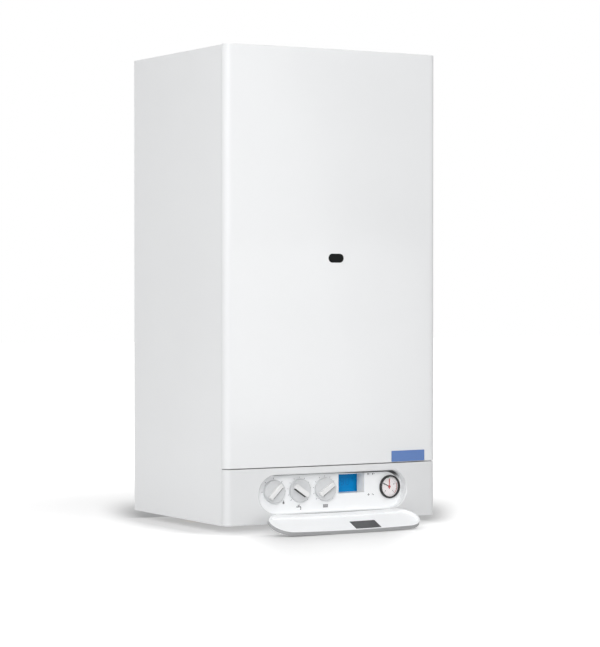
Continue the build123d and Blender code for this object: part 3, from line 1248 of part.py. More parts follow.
def make_filling_tap_knob():
    z = (TAP_KNOB_LOW_Z, TAP_KNOB_LOW_Z + TAP_KNOB_T)
    knob = rod_z(TAP_KNOB_R, TAP_X, CONNECTION_Y, z)
    for across, up in flutes(TAP_KNOB_R):
        knob -= rod_z(FLUTE_R, TAP_X + across, CONNECTION_Y + up, z)
    return knob + rod_z(TAP_STEM_R, TAP_X, CONNECTION_Y, (z[1], TAP_LOW_Z + TAP_STEM_IN))


def make_gas_valve():
    y = around(GAS_VALVE_Y, GAS_VALVE_D)
    z = (GAS_VALVE_LOW_Z, GAS_VALVE_LOW_Z + GAS_VALVE_H)
    body = fillet(block(both(GAS_VALVE_HALF_W), y, z).edges().filter_by(Axis.Y), ACTUATOR_EDGE_R)
    for side in (-1, 1):
        body += rod_y(GAS_COIL_R, side * GAS_COIL_X, (y[0] - GAS_COIL_L, y[0]), (z[0] + z[1]) / 2)
    for end in (z[0], z[1] - THREAD_L):
        body -= rod_z(RISER_BORE_R, 0, GAS_VALVE_Y, (end, end + THREAD_L))
    return body


def make_gas_inlet_pipe():
    points = [(0, CONNECTION_Y, CONNECTION_LOW_Z), (0, CONNECTION_Y, GAS_BEND_Z),
              (0, GAS_VALVE_Y, GAS_BEND_Z), (0, GAS_VALVE_Y, GAS_VALVE_LOW_Z)]
    tube = pipe(points, PIPE_R, PIPE_BORE_R, GAS_BEND_R)
    thread_z = (CONNECTION_LOW_Z, CONNECTION_LOW_Z + THREAD_L)
    thread = rod_z(THREAD_LARGE_R, 0, CONNECTION_Y, thread_z) - rod_z(PIPE_BORE_R, 0, CONNECTION_Y, thread_z)
    return tube + thread


def make_gas_riser():
    bottom = GAS_VALVE_LOW_Z + GAS_VALVE_H
    top = MANIFOLD_Z - MANIFOLD_R + MANIFOLD_WALL
    points = [(0, GAS_VALVE_Y, bottom), (0, GAS_VALVE_Y, RISER_Z),
              (0, MANIFOLD_Y, RISER_Z), (0, MANIFOLD_Y, top)]
    return pipe(points, RISER_R, RISER_BORE_R, RISER_BEND_R)


def make_flow_pipe():
    points = [(-PIPE_X, CONNECTION_Y, BLOCK_TOP_Z), (-PIPE_X, CONNECTION_Y, PIPE_Z),
              (-PIPE_X, STACK_Y, PIPE_Z), (-PIPE_X, STACK_Y, HEADER_LOW_Z)]
    return pipe(points, PIPE_R, PIPE_BORE_R, PIPE_BEND_R)


def make_return_pipe():
    middle = sum(volute_y()) / 2
    points = [(PIPE_X, middle, PUMP_OUTLET_TOP_Z), (PIPE_X, middle, PIPE_Z),
              (PIPE_X, STACK_Y, PIPE_Z), (PIPE_X, STACK_Y, HEADER_LOW_Z)]
    return pipe(points, PIPE_R, PIPE_BORE_R, PIPE_BEND_R)


def make_vessel_pipe():
    middle = -PAN_DEPTH - VESSEL_T / 2
    points = [(VESSEL_PORT_X, middle, VESSEL_PORT_LOW_Z), (VESSEL_PORT_X, middle, VESSEL_PIPE_Z),
              (PIPE_X, middle, VESSEL_PIPE_Z), (PIPE_X, middle, VESSEL_PIPE_TURN_Z),
              (PIPE_X, CONNECTION_Y, VESSEL_PIPE_TURN_Z),
              (PIPE_X, CONNECTION_Y, BLOCK_TOP_Z)]
    return pipe(points, VESSEL_PIPE_R, VESSEL_PIPE_BORE_R, VESSEL_PIPE_BEND_R)


def make_parts():
    """Every piece by its name; a list holds separate identical pieces."""
    parts = {
        "chassis": make_chassis(),
        "wall_bracket": make_wall_bracket(),
        "side_panel_left": make_side_panel(-1),
        "side_panel_right": make_side_panel(1),
        "top_panel": make_top_panel(),
        "front_panel": make_front_panel(),
        "sight_glass": make_sight_glass(),
        "badge_plate": make_badge_plate(),
        "fascia": make_fascia(),
        "flap": make_flap(),
        "flap_window": make_flap_window(),
        "flap_hinge_pins": make_flap_hinge_pins(),
        "control_insert": make_control_insert(),
        "control_switches": make_control_switches(),
        "display": make_display(),
        "circuit_board": make_circuit_board(),
        "control_box": make_control_box(),
        "gauge_case": make_gauge_case(),
        "gauge_dial": make_gauge_dial(),
        "gauge_set_hand": make_gauge_set_hand(),
        "gauge_needle": make_gauge_needle(),
        "gauge_glass": make_gauge_glass(),
        "air_chamber": make_air_chamber(),
        "chamber_cover": make_chamber_cover(),
        "cover_screws": make_cover_screws(),
        "chamber_sight_glass": make_chamber_sight_glass(),
        "combustion_chamber": make_combustion_chamber(),
        "insulation": make_insulation(),
        "burner": make_burner(),
        "gas_manifold": make_gas_manifold(),
        "injectors": make_injectors(),
        "electrodes": make_electrodes(),
        "heat_exchanger": make_heat_exchanger(),
        "flue_hood": make_flue_hood(),
        "fan_housing": make_fan_housing(),
        "fan_rotor": make_fan_rotor(),
        "fan_motor": make_fan_motor(),
        "flue_collar": make_flue_collar(),
        "expansion_vessel": make_expansion_vessel(),
        "flow_block": make_flow_block(),
        "return_block": make_return_block(),
        "plate_exchanger": make_plate_exchanger(),
        "diverter_actuator": make_diverter_actuator(),
        "diverter_spindle": make_diverter_spindle(),
        "pump_housing": make_pump_housing(),
        "pump_motor": make_pump_motor(),
        "pump_impeller": make_pump_impeller(),
        "air_vent": make_air_vent(),
        "safety_valve": make_safety_valve(),
        "safety_valve_knob": make_safety_valve_knob(),
        "filling_tap_knob": make_filling_tap_knob(),
        "gas_valve": make_gas_valve(),
        "gas_inlet_pipe": make_gas_inlet_pipe(),
        "gas_riser": make_gas_riser(),
        "flow_pipe": make_flow_pipe(),
        "return_pipe": make_return_pipe(),
        "vessel_pipe": make_vessel_pipe(),
    }
    for name, x in knob_places().items():
        parts[name] = make_knob(x, KNOB_TURN[name])
    return parts


os.makedirs("parts", exist_ok=True)
for part_name, made in make_parts().items():
    solids = made if isinstance(made, list) else made.solids()
    export_step(Compound(children=list(solids)), f"parts/{part_name}.step")
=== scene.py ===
from math import cos, pi, radians, sin

import bmesh
import bpy
from mathutils import Matrix, Vector


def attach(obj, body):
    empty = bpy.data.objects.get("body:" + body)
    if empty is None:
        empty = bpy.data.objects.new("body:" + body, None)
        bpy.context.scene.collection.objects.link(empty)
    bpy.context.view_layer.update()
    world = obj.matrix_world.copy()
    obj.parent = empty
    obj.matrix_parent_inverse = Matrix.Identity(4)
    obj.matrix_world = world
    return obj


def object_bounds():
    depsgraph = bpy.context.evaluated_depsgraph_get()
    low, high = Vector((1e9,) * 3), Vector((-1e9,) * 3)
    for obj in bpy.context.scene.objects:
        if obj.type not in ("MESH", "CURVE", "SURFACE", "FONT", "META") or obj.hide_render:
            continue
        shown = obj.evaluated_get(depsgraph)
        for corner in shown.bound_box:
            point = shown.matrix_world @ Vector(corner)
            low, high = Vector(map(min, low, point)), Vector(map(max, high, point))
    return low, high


# A wall-hung combi boiler, seen from its left front with the control flap down.
# Metres, in the same frame as the model: X right, Y back to the wall, Z up, the casing's lower edge at zero.

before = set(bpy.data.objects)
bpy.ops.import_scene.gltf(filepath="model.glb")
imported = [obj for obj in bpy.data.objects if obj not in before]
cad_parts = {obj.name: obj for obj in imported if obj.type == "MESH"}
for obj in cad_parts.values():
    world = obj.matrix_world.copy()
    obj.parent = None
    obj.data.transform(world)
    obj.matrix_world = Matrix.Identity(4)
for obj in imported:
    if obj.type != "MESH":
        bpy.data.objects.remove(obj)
model_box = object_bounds()


# ---------------------------------------------------------------- camera

# The eye's place, how far it looks to the right and down, and its focal length in pixels of the photograph.
EYE = Vector((-1.96022, -3.62123, 0.37934))
YAW, PITCH = 0.523, 0.0148
PHOTO_LONG_SIDE, FOCAL_PIXELS = 647, 2343.77
FILM_WIDTH = 36
NEAREST, FURTHEST = 0.05, 100


def set_camera():
    camera = bpy.data.cameras.new("camera")
    holder = bpy.data.objects.new("camera", camera)
    bpy.context.scene.collection.objects.link(holder)
    forward = Vector((sin(YAW) * cos(PITCH), cos(YAW) * cos(PITCH), -sin(PITCH)))
    holder.location = EYE
    holder.rotation_mode = "QUATERNION"
    holder.rotation_quaternion = forward.to_track_quat("-Z", "Y")
    camera.sensor_width = FILM_WIDTH
    camera.lens = FOCAL_PIXELS * FILM_WIDTH / PHOTO_LONG_SIDE
    camera.clip_start, camera.clip_end = NEAREST, FURTHEST
    bpy.context.scene.camera = holder


# ---------------------------------------------------------------- shader maths

# A Mix node's sockets, by their number: the two colours and their mixture, and the two plain numbers.
COLOR_A, COLOR_B, COLOR_OUT = 6, 7, 2
NUMBER_A, NUMBER_B = 2, 3


class Wire:
    """A shader socket that takes part in sums."""

    def __init__(self, nodes, socket):
        self.nodes, self.socket = nodes, socket

    def maths(self, kind, first, second):
        return self.nodes.node("ShaderNodeMath", {"operation": kind}, {0: first, 1: second})

    def __add__(self, other):
        return self.maths("ADD", self, other)

    def __sub__(self, other):
        return self.maths("SUBTRACT", self, other)

    def __rsub__(self, other):
        return self.maths("SUBTRACT", other, self)

    def __mul__(self, other):
        return self.maths("MULTIPLY", self, other)

    def __truediv__(self, other):
        return self.maths("DIVIDE", self, other)

    def __pow__(self, other):
        return self.maths("POWER", self, other)

    def __gt__(self, other):
        return self.maths("GREATER_THAN", self, other)

    def __lt__(self, other):
        return self.maths("LESS_THAN", self, other)

    def __abs__(self):
        return self.maths("ABSOLUTE", self, 0)

    __radd__, __rmul__ = __add__, __mul__

    def at_least(self, low):
        return self.maths("MAXIMUM", self, low)

    def sine(self):
        return self.maths("SINE", self, 0)

    def ramp(self, low, high):
        """Goes from 0 at low to 1 at high, smoothly, and stays there."""
        sockets = {"Value": self, "From Min": low, "From Max": high}
        return self.nodes.node("ShaderNodeMapRange", {"interpolation_type": "SMOOTHSTEP"}, sockets)


class Nodes:
    """The nodes of a material, or of the surroundings."""

    def __init__(self, owner):
        owner.use_nodes = True
        self.tree = owner.node_tree

    def put(self, socket, value):
        if isinstance(value, Wire):
            self.tree.links.new(value.socket, socket)
        else:
            socket.default_value = value

    def node(self, kind, settings, sockets, out=0):
        made = self.tree.nodes.new(kind)
        for name, value in settings.items():
            setattr(made, name, value)
        for name, value in sockets.items():
            self.put(made.inputs[name], value)
        return Wire(self, made.outputs[out])

    def ray(self, kind):
        """1 on light paths of one kind, such as Is Camera Ray, and 0 on others."""
        return self.node("ShaderNodeLightPath", {}, {}, kind)


class Paint(Nodes):
    """A material under construction."""

    def __init__(self, name, color, roughness, metallic=0.0, **more):
        self.material = bpy.data.materials.new(name)
        super().__init__(self.material)
        self.shader = self.tree.nodes["Principled BSDF"]
        self.set("Base Color", (*color, 1))
        self.set("Roughness", roughness)
        self.set("Metallic", metallic)
        for socket, value in more.items():
            self.set(socket.replace("_", " "), value)

    def set(self, socket, value):
        self.put(self.shader.inputs[socket], value)

    def place(self, scale=(1, 1, 1)):
        """Object coordinates, stretched along each axis."""
        spot = self.node("ShaderNodeTexCoord", {}, {}, "Object")
        return self.node("ShaderNodeMapping", {}, {"Vector": spot, "Scale": scale})

    def axis(self, name):
        spot = self.node("ShaderNodeTexCoord", {}, {}, "Object")
        return self.node("ShaderNodeSeparateXYZ", {}, {"Vector": spot}, name)

    def noise(self, fineness, detail=2, rough=0.5, scale=(1, 1, 1)):
        sockets = {"Vector": self.place(scale), "Scale": fineness, "Detail": detail, "Roughness": rough}
        return self.node("ShaderNodeTexNoise", {}, sockets, "Fac")

    def blend(self, share, first, second):
        """The first colour where the share is 0, the second where it is 1."""
        colors = [color if isinstance(color, Wire) else (*color, 1) for color in (first, second)]
        sockets = {0: share, COLOR_A: colors[0], COLOR_B: colors[1]}
        return self.node("ShaderNodeMix", {"data_type": "RGBA"}, sockets, COLOR_OUT)

    def mottle(self, color, pattern, dark, light, low=0.3, high=0.7):
        """The base colour, taken by a pattern from a darker shade of itself to a lighter one."""
        self.set("Base Color", self.blend(pattern.ramp(low, high), shade(color, dark), shade(color, light)))

    def bump(self, height, strength, depth):
        sockets = {"Height": height, "Strength": strength, "Distance": depth}
        self.set("Normal", self.node("ShaderNodeBump", {}, sockets))

    def on(self, *nodes):
        """Paints pieces of the model."""
        for name in nodes:
            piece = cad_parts[name]
            for spot in piece.material_slots:
                spot.material = self.material


def shade(color, factor):
    return tuple(c * factor for c in color)


def swing(pattern, middle, spread):
    """A value that a pattern moves to both sides of its middle."""
    return pattern * spread + (middle - spread / 2)


def beyond(place, middle, half):
    """How far a place lies outside a strip, negative inside it."""
    return abs(place - middle) - half


def length(across, along):
    return (across * across + along * along) ** 0.5


# ---------------------------------------------------------------- sizes that the looks share with the model


def front_middle(name):
    """The middle of a model piece's box, on the side that faces the front."""
    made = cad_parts[name]
    corners = [made.matrix_world @ Vector(corner) for corner in made.bound_box]
    low, high = (Vector(pick(c[n] for c in corners) for n in range(3)) for pick in (min, max))
    return Vector(((low.x + high.x) / 2, low.y, (low.z + high.z) / 2))


KNOBS = {name: front_middle(name) for name in ("knob_mode", "knob_hot_water", "knob_heating")}
GAUGE = front_middle("gauge_dial")
DISPLAY = front_middle("display")
COLLAR = front_middle("flue_collar")

# Half of the casing's width and depth.
CASING_HALF_X, CASING_HALF_Y = 0.2, 0.165
# The front panel's upright bends lie outside this X and in front of this Y, and begin over this width.
BEND_X, BEND_Y, BEND_START = 0.190, -0.318, 0.006
# The face of the recess floor, behind which the display's tunnel begins, and the height of its middle.
CONTROL_FLOOR, OPENING_Z = -0.316, 0.0477
# A knob's grip bar stands in front of this Y.
KNOB_FACE_Y = -0.3220
# The flap: its hinge, how far it hangs open, and its oblong's middle, half straight length and end radius.
HINGE_Y, HINGE_Z = -0.334, 0.0125
FLAP_ANGLE, FLAP_MIDDLE, FLAP_STRAIGHT, FLAP_R = radians(113), 0.0352, 0.109, 0.03
# The flue collar's flange: its radius and its top face.
FLANGE_R, FLANGE_TOP = 0.066, 0.7710


# ---------------------------------------------------------------- finishes

WHITE = (0.766, 0.774, 0.782)
COPPER = (0.83, 0.44, 0.27)
ZINC = (0.72, 0.71, 0.66)
BLACK = (0.03, 0.03, 0.033)
INK_BLACK = (0.03, 0.03, 0.03)
SIGNAL_RED = (0.55, 0.02, 0.015)


def enamel(name, color=WHITE, roughness=0.3, coat=0.5, coat_roughness=0.06):
    """Stove enamel on sheet: a faint orange peel, a slightly uneven gloss, and duller over the bends."""
    paint = Paint(name, color, roughness, Coat_Weight=coat, Coat_Roughness=coat_roughness)
    cloud = paint.noise(3.5, 3)
    paint.mottle(color, cloud, 0.985, 1.01, 0.25, 0.75)
    bend = (abs(paint.axis("X")) * (paint.axis("Y") < BEND_Y)).ramp(BEND_X, BEND_X + BEND_START)
    paint.set("Coat Weight", coat - bend * coat)
    paint.set("Roughness", swing(cloud, roughness, 0.06) + bend * 0.3)
    paint.bump(paint.noise(260, 2), 0.12, 0.0004)
    return paint


def moulded(name, color, roughness=0.38, grain=900, strength=0.12, **more):
    """Moulded plastic with a fine spark-eroded grain."""
    paint = Paint(name, color, roughness, **more)
    paint.mottle(color, paint.noise(9, 2), 0.985, 1.01)
    fine = paint.noise(grain, 2)
    paint.set("Roughness", swing(fine, roughness, 0.08))
    paint.bump(fine, strength, 0.0002)
    return paint


def drawn_metal(name, color, roughness=0.32, along="Z"):
    """Bare metal with fine drawing lines along one axis."""
    paint = Paint(name, color, roughness, 1.0)
    lines = paint.noise(1, 3, 0.6, [6 if axis == along else 300 for axis in "XYZ"])
    paint.mottle(color, paint.noise(12, 3), 0.9, 1)
    paint.set("Roughness", swing(lines, roughness, 0.14))
    paint.bump(lines, 0.25, 0.0001)
    return paint


def zinc_sheet(name, color=(0.62, 0.63, 0.65), roughness=0.4):
    """Galvanised sheet: large zinc crystals of slightly different greys."""
    paint = Paint(name, color, roughness, 0.85)
    crystal = paint.node("ShaderNodeTexVoronoi", {}, {"Vector": paint.place(), "Scale": 85.0}, "Color")
    tone = paint.node("ShaderNodeSeparateColor", {}, {"Color": crystal}, "Red")
    paint.set("Base Color", paint.blend(tone, shade(color, 0.82), shade(color, 1.12)))
    paint.set("Roughness", swing(tone, roughness, 0.2))
    paint.bump(paint.noise(400, 2), 0.06, 0.0002)
    return paint


def cast(name, color, roughness=0.55, metallic=0.9):
    """Sand or die cast metal, slightly pitted."""
    paint = Paint(name, color, roughness, metallic)
    pits = paint.noise(420, 4, 0.7)
    paint.mottle(color, pits, 0.8, 1, 0.35, 0.65)
    paint.set("Roughness", swing(pits, roughness, 0.2))
    paint.bump(pits, 0.35, 0.0003)
    return paint


def threaded(paint, pitch=0.0018, top=0.009):
    """Thread rings on the ends below the casing, as a bump."""
    height = paint.axis("Z")
    paint.bump((height * (2 * pi / pitch)).sine() * (height < top), 0.9, 0.0006)
    return paint


# ---------------------------------------------------------------- casing and control panel

RECESS_WHITE = shade(WHITE, 1.23)
TUNNEL_WHITE = (1.0, 0.95, 0.88)
SHADOW_GREY = (0.06, 0.062, 0.065)
# The display's tunnel turns a warm white between these two depths, a painted tint that offsets the display's
# blue light falling on it.
TUNNEL_Y = (-0.3155, -0.3140)
# The painted shadow along the recess's upper edge: how wide it is at its left, how much wider over these X,
# and where it fades.
SHADOW_EDGE_WIDE, SHADOW_EDGE_WIDER, SHADOW_EDGE_WIDER_X, SHADOW_EDGE_R = 0.0008, 0.0014, (-0.02, 0.08), (0.0292, 0.0298)
# It shows on the floor above these heights, and on the front of the rim, which bows forward with the fascia.
FLOOR_SKIN, FLOOR_SHADOW_UP = 0.0002, (0.012, 0.026)
RIM_BOW, RIM_Y, RIM_LEAN, RIM_SHADOW_UP = 0.15, -0.3314, 0.02, (0.002, 0.016)


def recess_plastic():
    """White, with a painted shadow where the floor runs in under the upper edge of the fascia's opening."""
    paint = moulded("white_recess_painted_shadow", RECESS_WHITE, 0.42)
    x, y, up = paint.axis("X"), paint.axis("Y"), paint.axis("Z") - OPENING_Z
    end = beyond(x, 0, FLAP_STRAIGHT).at_least(0)
    wide = x.ramp(*SHADOW_EDGE_WIDER_X) * SHADOW_EDGE_WIDER + SHADOW_EDGE_WIDE
    # A painted shadow under the opening's upper edge, on the recess floor and on the rim's front.
    edge = (length(end, up) + wide).ramp(*SHADOW_EDGE_R)
    shadow_on_floor = (y > CONTROL_FLOOR - FLOOR_SKIN) * up.ramp(*FLOOR_SHADOW_UP)
    shadow_on_rim = (y - x * x * RIM_BOW < RIM_Y) * (up + x * RIM_LEAN).ramp(*RIM_SHADOW_UP)
    # The tunnel's painted warm tint, set against the display's blue light.
    white = paint.blend(y.ramp(*TUNNEL_Y), RECESS_WHITE, TUNNEL_WHITE)
    paint.set("Base Color", paint.blend(edge * shadow_on_floor.at_least(shadow_on_rim), white, SHADOW_GREY))
    return paint


RIM_SHADE_GREY = (0.4, 0.405, 0.41)
# The painted shade on the flap's rim fades in between these distances inside the flap's outline, and stops
# this far from the hinge.
RIM_IN, RIM_OUT, RIM_STOP = 0.0005, 0.0002, 0.012
# The painted shade in the crease along the hinge, from dark to white.
CREASE_SHADE = (0.0028, 0.0036)


def flap_plastic():
    """White inside, with painted shade round its rim and in the crease along its hinge."""
    paint = moulded("white_flap_painted_shade", shade(WHITE, 1.25), 0.36, 700, 0.08)
    forward, up = HINGE_Y - paint.axis("Y"), paint.axis("Z") - HINGE_Z
    along = forward * sin(FLAP_ANGLE) + up * cos(FLAP_ANGLE)
    end = beyond(paint.axis("X"), 0, FLAP_STRAIGHT).at_least(0)
    # Painted shade round the rim and in the crease along the hinge.
    rim = length(end, along - FLAP_MIDDLE).ramp(FLAP_R - RIM_IN, FLAP_R - RIM_OUT) * (along > RIM_STOP)
    crease = 1 - along.ramp(*CREASE_SHADE)
    inside = paint.blend(paint.noise(9, 2).ramp(0.3, 0.7), shade(WHITE, 1.23), shade(WHITE, 1.26))
    paint.set("Base Color", paint.blend(rim.at_least(crease), inside, RIM_SHADE_GREY))
    return paint


# Each knob's painted shadow line along the bar's lower side: its turn in degrees, its distance from the bar's
# middle, and its tone.
KNOB_SHADOW_LINES = {
    "knob_mode": (45, 0.0034, 0.22),
    "knob_hot_water": (-55, 0.0048, 0.05),
    "knob_heating": (55, 0.0034, 0.2),
}
SHADOW_LINE_HALF_WIDE, SHADOW_LINE_HALF_LONG = 0.0006, 0.0125
KNOB_GREY = (0.7, 0.71, 0.72)
DISC_DARK, DISC_LIGHT, BAR_WHITE = (0.62, 0.63, 0.64), (0.68, 0.69, 0.7), (0.79, 0.79, 0.79)


def knob_plastic(name, degrees, aside, tone):
    """A pale grey disc with a whiter grip bar, and a painted shadow line along the bar's lower side."""
    paint = moulded(f"{name}_grey", KNOB_GREY, 0.4)
    turn, lower_side = radians(degrees), 1 if degrees > 0 else -1
    x, z = paint.axis("X") - KNOBS[name].x, paint.axis("Z") - KNOBS[name].z
    # A painted shadow line along the grip bar's lower side.
    off_shadow_line = abs((x * cos(turn) - z * sin(turn)) * lower_side - aside)
    line = (off_shadow_line < SHADOW_LINE_HALF_WIDE) * (abs(x * sin(turn) + z * cos(turn)) < SHADOW_LINE_HALF_LONG)
    disc_tone = paint.blend(paint.noise(30, 2).ramp(0.3, 0.7), DISC_DARK, DISC_LIGHT)
    both = paint.blend(paint.axis("Y") < KNOB_FACE_Y, disc_tone, BAR_WHITE)
    paint.set("Base Color", paint.blend(line, both, (tone, tone, tone)))
    return paint


DISPLAY_BLUE, DISPLAY_DEEP, DISPLAY_LIT = (0.0, 0.12, 0.45), (0.0, 0.1, 0.25), (0.0, 0.157, 0.39)
# Where the display darkens: upwards from its middle, and to both sides.
GLOW_UP, GLOW_ASIDE, GLOW_STRENGTH = (0.016, -0.004), (0.026, 0.015), 0.55


def display_glow():
    """A lit blue display, deeper towards its top and edges."""
    paint = Paint("display_blue", DISPLAY_BLUE, 0.3, Specular_IOR_Level=0.1)
    fall = paint.axis("Z").ramp(*(DISPLAY.z + up for up in GLOW_UP))
    edge = abs(paint.axis("X") - DISPLAY.x).ramp(*GLOW_ASIDE)
    glow = paint.blend(fall * edge, DISPLAY_DEEP, DISPLAY_LIT)
    paint.set("Base Color", glow)
    paint.set("Emission Color", glow)
    paint.set("Emission Strength", GLOW_STRENGTH)
    return paint


def dress_casing():
    enamel("white_enamel_front").on("front_panel")
    enamel("white_enamel_sides", coat_roughness=0.3).on("side_panel_left", "side_panel_right", "top_panel")
    moulded("white_fascia", shade(WHITE, 0.93), 0.36, 700, 0.08, Coat_Weight=0.15).on("fascia")
    recess_plastic().on("control_insert")
    flap_plastic().on("flap")
    moulded("blue_plate", (0.05, 0.15, 0.43), 0.3, 1200, 0.05, Coat_Weight=0.6).on("badge_plate")
    lens = moulded("dark_lens", (0.007, 0.008, 0.008), 0.2, 1500, 0.02, Specular_IOR_Level=0.06)
    lens.on("sight_glass", "chamber_sight_glass")
    moulded("smoked_window", (0.066, 0.068, 0.07), 0.36, 1500, 0.02).on("flap_window")
    zinc_sheet("zinc_sheet").on("chassis", "wall_bracket", "air_chamber", "chamber_cover")


def dress_controls():
    for name, (degrees, aside, tone) in KNOB_SHADOW_LINES.items():
        knob_plastic(name, degrees, aside, tone).on(name)
    moulded("black_bezel", (0.006, 0.006, 0.007), 0.4, 900, 0.08).on("gauge_case")
    moulded("black_plastic", BLACK, 0.5).on("control_switches", "diverter_actuator")
    moulded("dial_white", (1.0, 0.95, 0.96), 0.6, 600, 0.03).on("gauge_dial")
    moulded("needle_red", SIGNAL_RED, 0.4).on("gauge_needle")
    moulded("hand_black", INK_BLACK, 0.4).on("gauge_set_hand")
    moulded("grey_box", (0.3, 0.31, 0.33), 0.55).on("control_box")
    drawn_metal("pin_steel", (0.6, 0.6, 0.61), 0.3, "X").on("flap_hinge_pins", "diverter_spindle")
    Paint("clear_cover", (1, 1, 1), 0.05, Alpha=0.05).on("gauge_glass")
    moulded("board_green", (0.02, 0.16, 0.06), 0.35, 500, 0.1).on("circuit_board")
    display_glow().on("display")


def dress_works():
    pipes = "flow_pipe", "return_pipe", "gas_riser", "vessel_pipe", "heat_exchanger"
    drawn_metal("copper_pipe", COPPER, 0.3).on(*pipes)
    threaded(drawn_metal("copper_threaded", COPPER, 0.3)).on("gas_inlet_pipe")
    threaded(cast("brass_block", (0.78, 0.58, 0.27), 0.42, 1.0)).on("flow_block", "return_block")
    drawn_metal("brass_turned", (0.8, 0.6, 0.28), 0.28).on("injectors", "safety_valve", "air_vent")
    drawn_metal("steel_plates", (0.62, 0.61, 0.59), 0.34, "X").on("plate_exchanger")
    drawn_metal("steel_sheet", (0.6, 0.61, 0.62), 0.36, "X").on("burner", "combustion_chamber", "flue_hood")
    castings = "fan_housing", "gas_valve", "gas_manifold", "flue_collar", "fan_rotor"
    cast("cast_aluminium", (0.7, 0.71, 0.72)).on(*castings)
    cast("black_casting", BLACK, 0.5, 0.0).on("pump_motor", "pump_housing", "fan_motor")
    drawn_metal("zinc_screws", ZINC, 0.25).on("cover_screws")
    enamel("red_vessel", (0.42, 0.025, 0.02), 0.35).on("expansion_vessel")
    moulded("ceramic_fibre", (0.82, 0.8, 0.74), 0.95, 300, 0.6).on("insulation")
    moulded("glazed_ceramic", (0.85, 0.83, 0.78), 0.15, 300, 0.02, Coat_Weight=0.8).on("electrodes")
    moulded("red_knob", (0.5, 0.02, 0.015), 0.4).on("safety_valve_knob")
    moulded("blue_knob", (0.02, 0.08, 0.4), 0.4).on("filling_tap_knob")
    moulded("dark_impeller", (0.06, 0.06, 0.065), 0.5).on("pump_impeller")


# ---------------------------------------------------------------- shapes for printed marks and small pieces

# The thickness of printed ink.
PRINT = 0.00012


def piece(name, form, body, finish, paint):
    """A finished mesh as an object that rides on a body."""
    mesh = bpy.data.meshes.new(name)
    form.to_mesh(mesh)
    form.free()
    mesh.materials.append(paint.material)
    made = bpy.data.objects.new(name, mesh)
    bpy.context.scene.collection.objects.link(made)
    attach(made, body)


def bar(form, centre, size, turn=0.0):
    """A flat bar in a plane that faces the front, turned clockwise in degrees about its own centre."""
    spin = Matrix.Rotation(radians(turn), 4, "Y")
    place = Matrix.Translation(centre) @ spin @ Matrix.Diagonal((*size, 1))
    bmesh.ops.create_cube(form, size=1.0, matrix=place)


def cylinder(form, place, radius, depth, sides):
    """A cylinder, or a prism of a few sides, along the place's own Z."""
    bmesh.ops.create_cone(
        form, cap_ends=True, segments=sides, radius1=radius, radius2=radius, depth=depth, matrix=place
    )


def around(centre, radius, angle):
    """A place on a circle that faces the front, with its angle clockwise from the top in degrees."""
    return Vector(centre) + radius * Vector((sin(radians(angle)), 0, cos(radians(angle))))


def picture(form, middle, bars, discs=()):
    """Printed bars (across, up, width, height, turn) and discs (across, up, radius, sides) about a middle."""
    x, y, z = middle
    for across, up, wide, tall, turn in bars:
        bar(form, (x + across, y, z + up), (wide, PRINT, tall), turn)
    for across, up, radius, sides in discs:
        flat = Matrix.Translation((x + across, y, z + up)) @ Matrix.Rotation(pi / 2, 4, "X")
        cylinder(form, flat, radius, PRINT, sides)


# ---------------------------------------------------------------- marks on the control panel

FLOOR_PRINT_Y = CONTROL_FLOOR - PRINT / 2
SCALE_R, MARK_WIDE, LONG_MARK, SHORT_MARK = 0.0215, 0.0007, 0.0026, 0.0016
MODE_MARKS = range(-90, 91, 45)
TURN_MARKS = range(-135, 136, 27)


def control_prints():
    """Scales round the knobs, printed on the recess floor, longer where a knob's turn ends."""
    form = bmesh.new()
    for name, middle in KNOBS.items():
        stepped = name == "knob_mode"
        for angle in MODE_MARKS if stepped else TURN_MARKS:
            tall = LONG_MARK if stepped or abs(angle) == TURN_MARKS[-1] else SHORT_MARK
            centre = around((middle.x, FLOOR_PRINT_Y, middle.z), SCALE_R, angle)
            bar(form, centre, (MARK_WIDE, PRINT, tall), angle)
    piece("control_prints", form, "casing", "hand_black", moulded("print_grey", (0.2, 0.2, 0.21), 0.5))


# The printed shapes about their middles, as picture takes them.
RIBS = [(rib * 0.0019, 0, 0.0012, 0.0052, 0) for rib in range(-2, 3)]
HEADERS = [(0, up, 0.0092, 0.0006, 0) for up in (-0.0021, 0.0021)]
TAP_BODY = ((-0.0008, 0.0006, 0.0082, 0.0016, 0), (0.0032, -0.0008, 0.0016, 0.003, 0))
TAP_HANDLE = ((-0.0004, 0.0022, 0.0012, 0.0022, 0), (-0.0004, 0.0034, 0.0048, 0.001, 0))
DROP = ((0.0032, -0.0035, 0.0009, 12),)
FLAME_TIP = ((0, 0.0008, 0.0019, 0.0019, 45), (0.0002, 0.0022, 0.0009, 0.0022, 12))
FLAME_BASE = ((0, -0.0008, 0.0018, 16),)
DASH, DOT = ((0.0032, 0, 0.0026, 0.0007, 0),), ((0, 0, 0.0013, 16),)
PLUS = ((0, 0, 0.004, 0.0009, 0), (0, 0, 0.0009, 0.004, 0))
SLANT = ((0, 0, 0.004, 0.0009, 30),)
# How far a picture lies below its knob, or below and beside the mode knob.
PICTURE_DROP, MODE_PICTURE = 0.0275, 0.0185
# The heights of the upper and the lower marks between the display and the gauge.
DOTS_Z, PLUS_Z = 0.0725, 0.0385


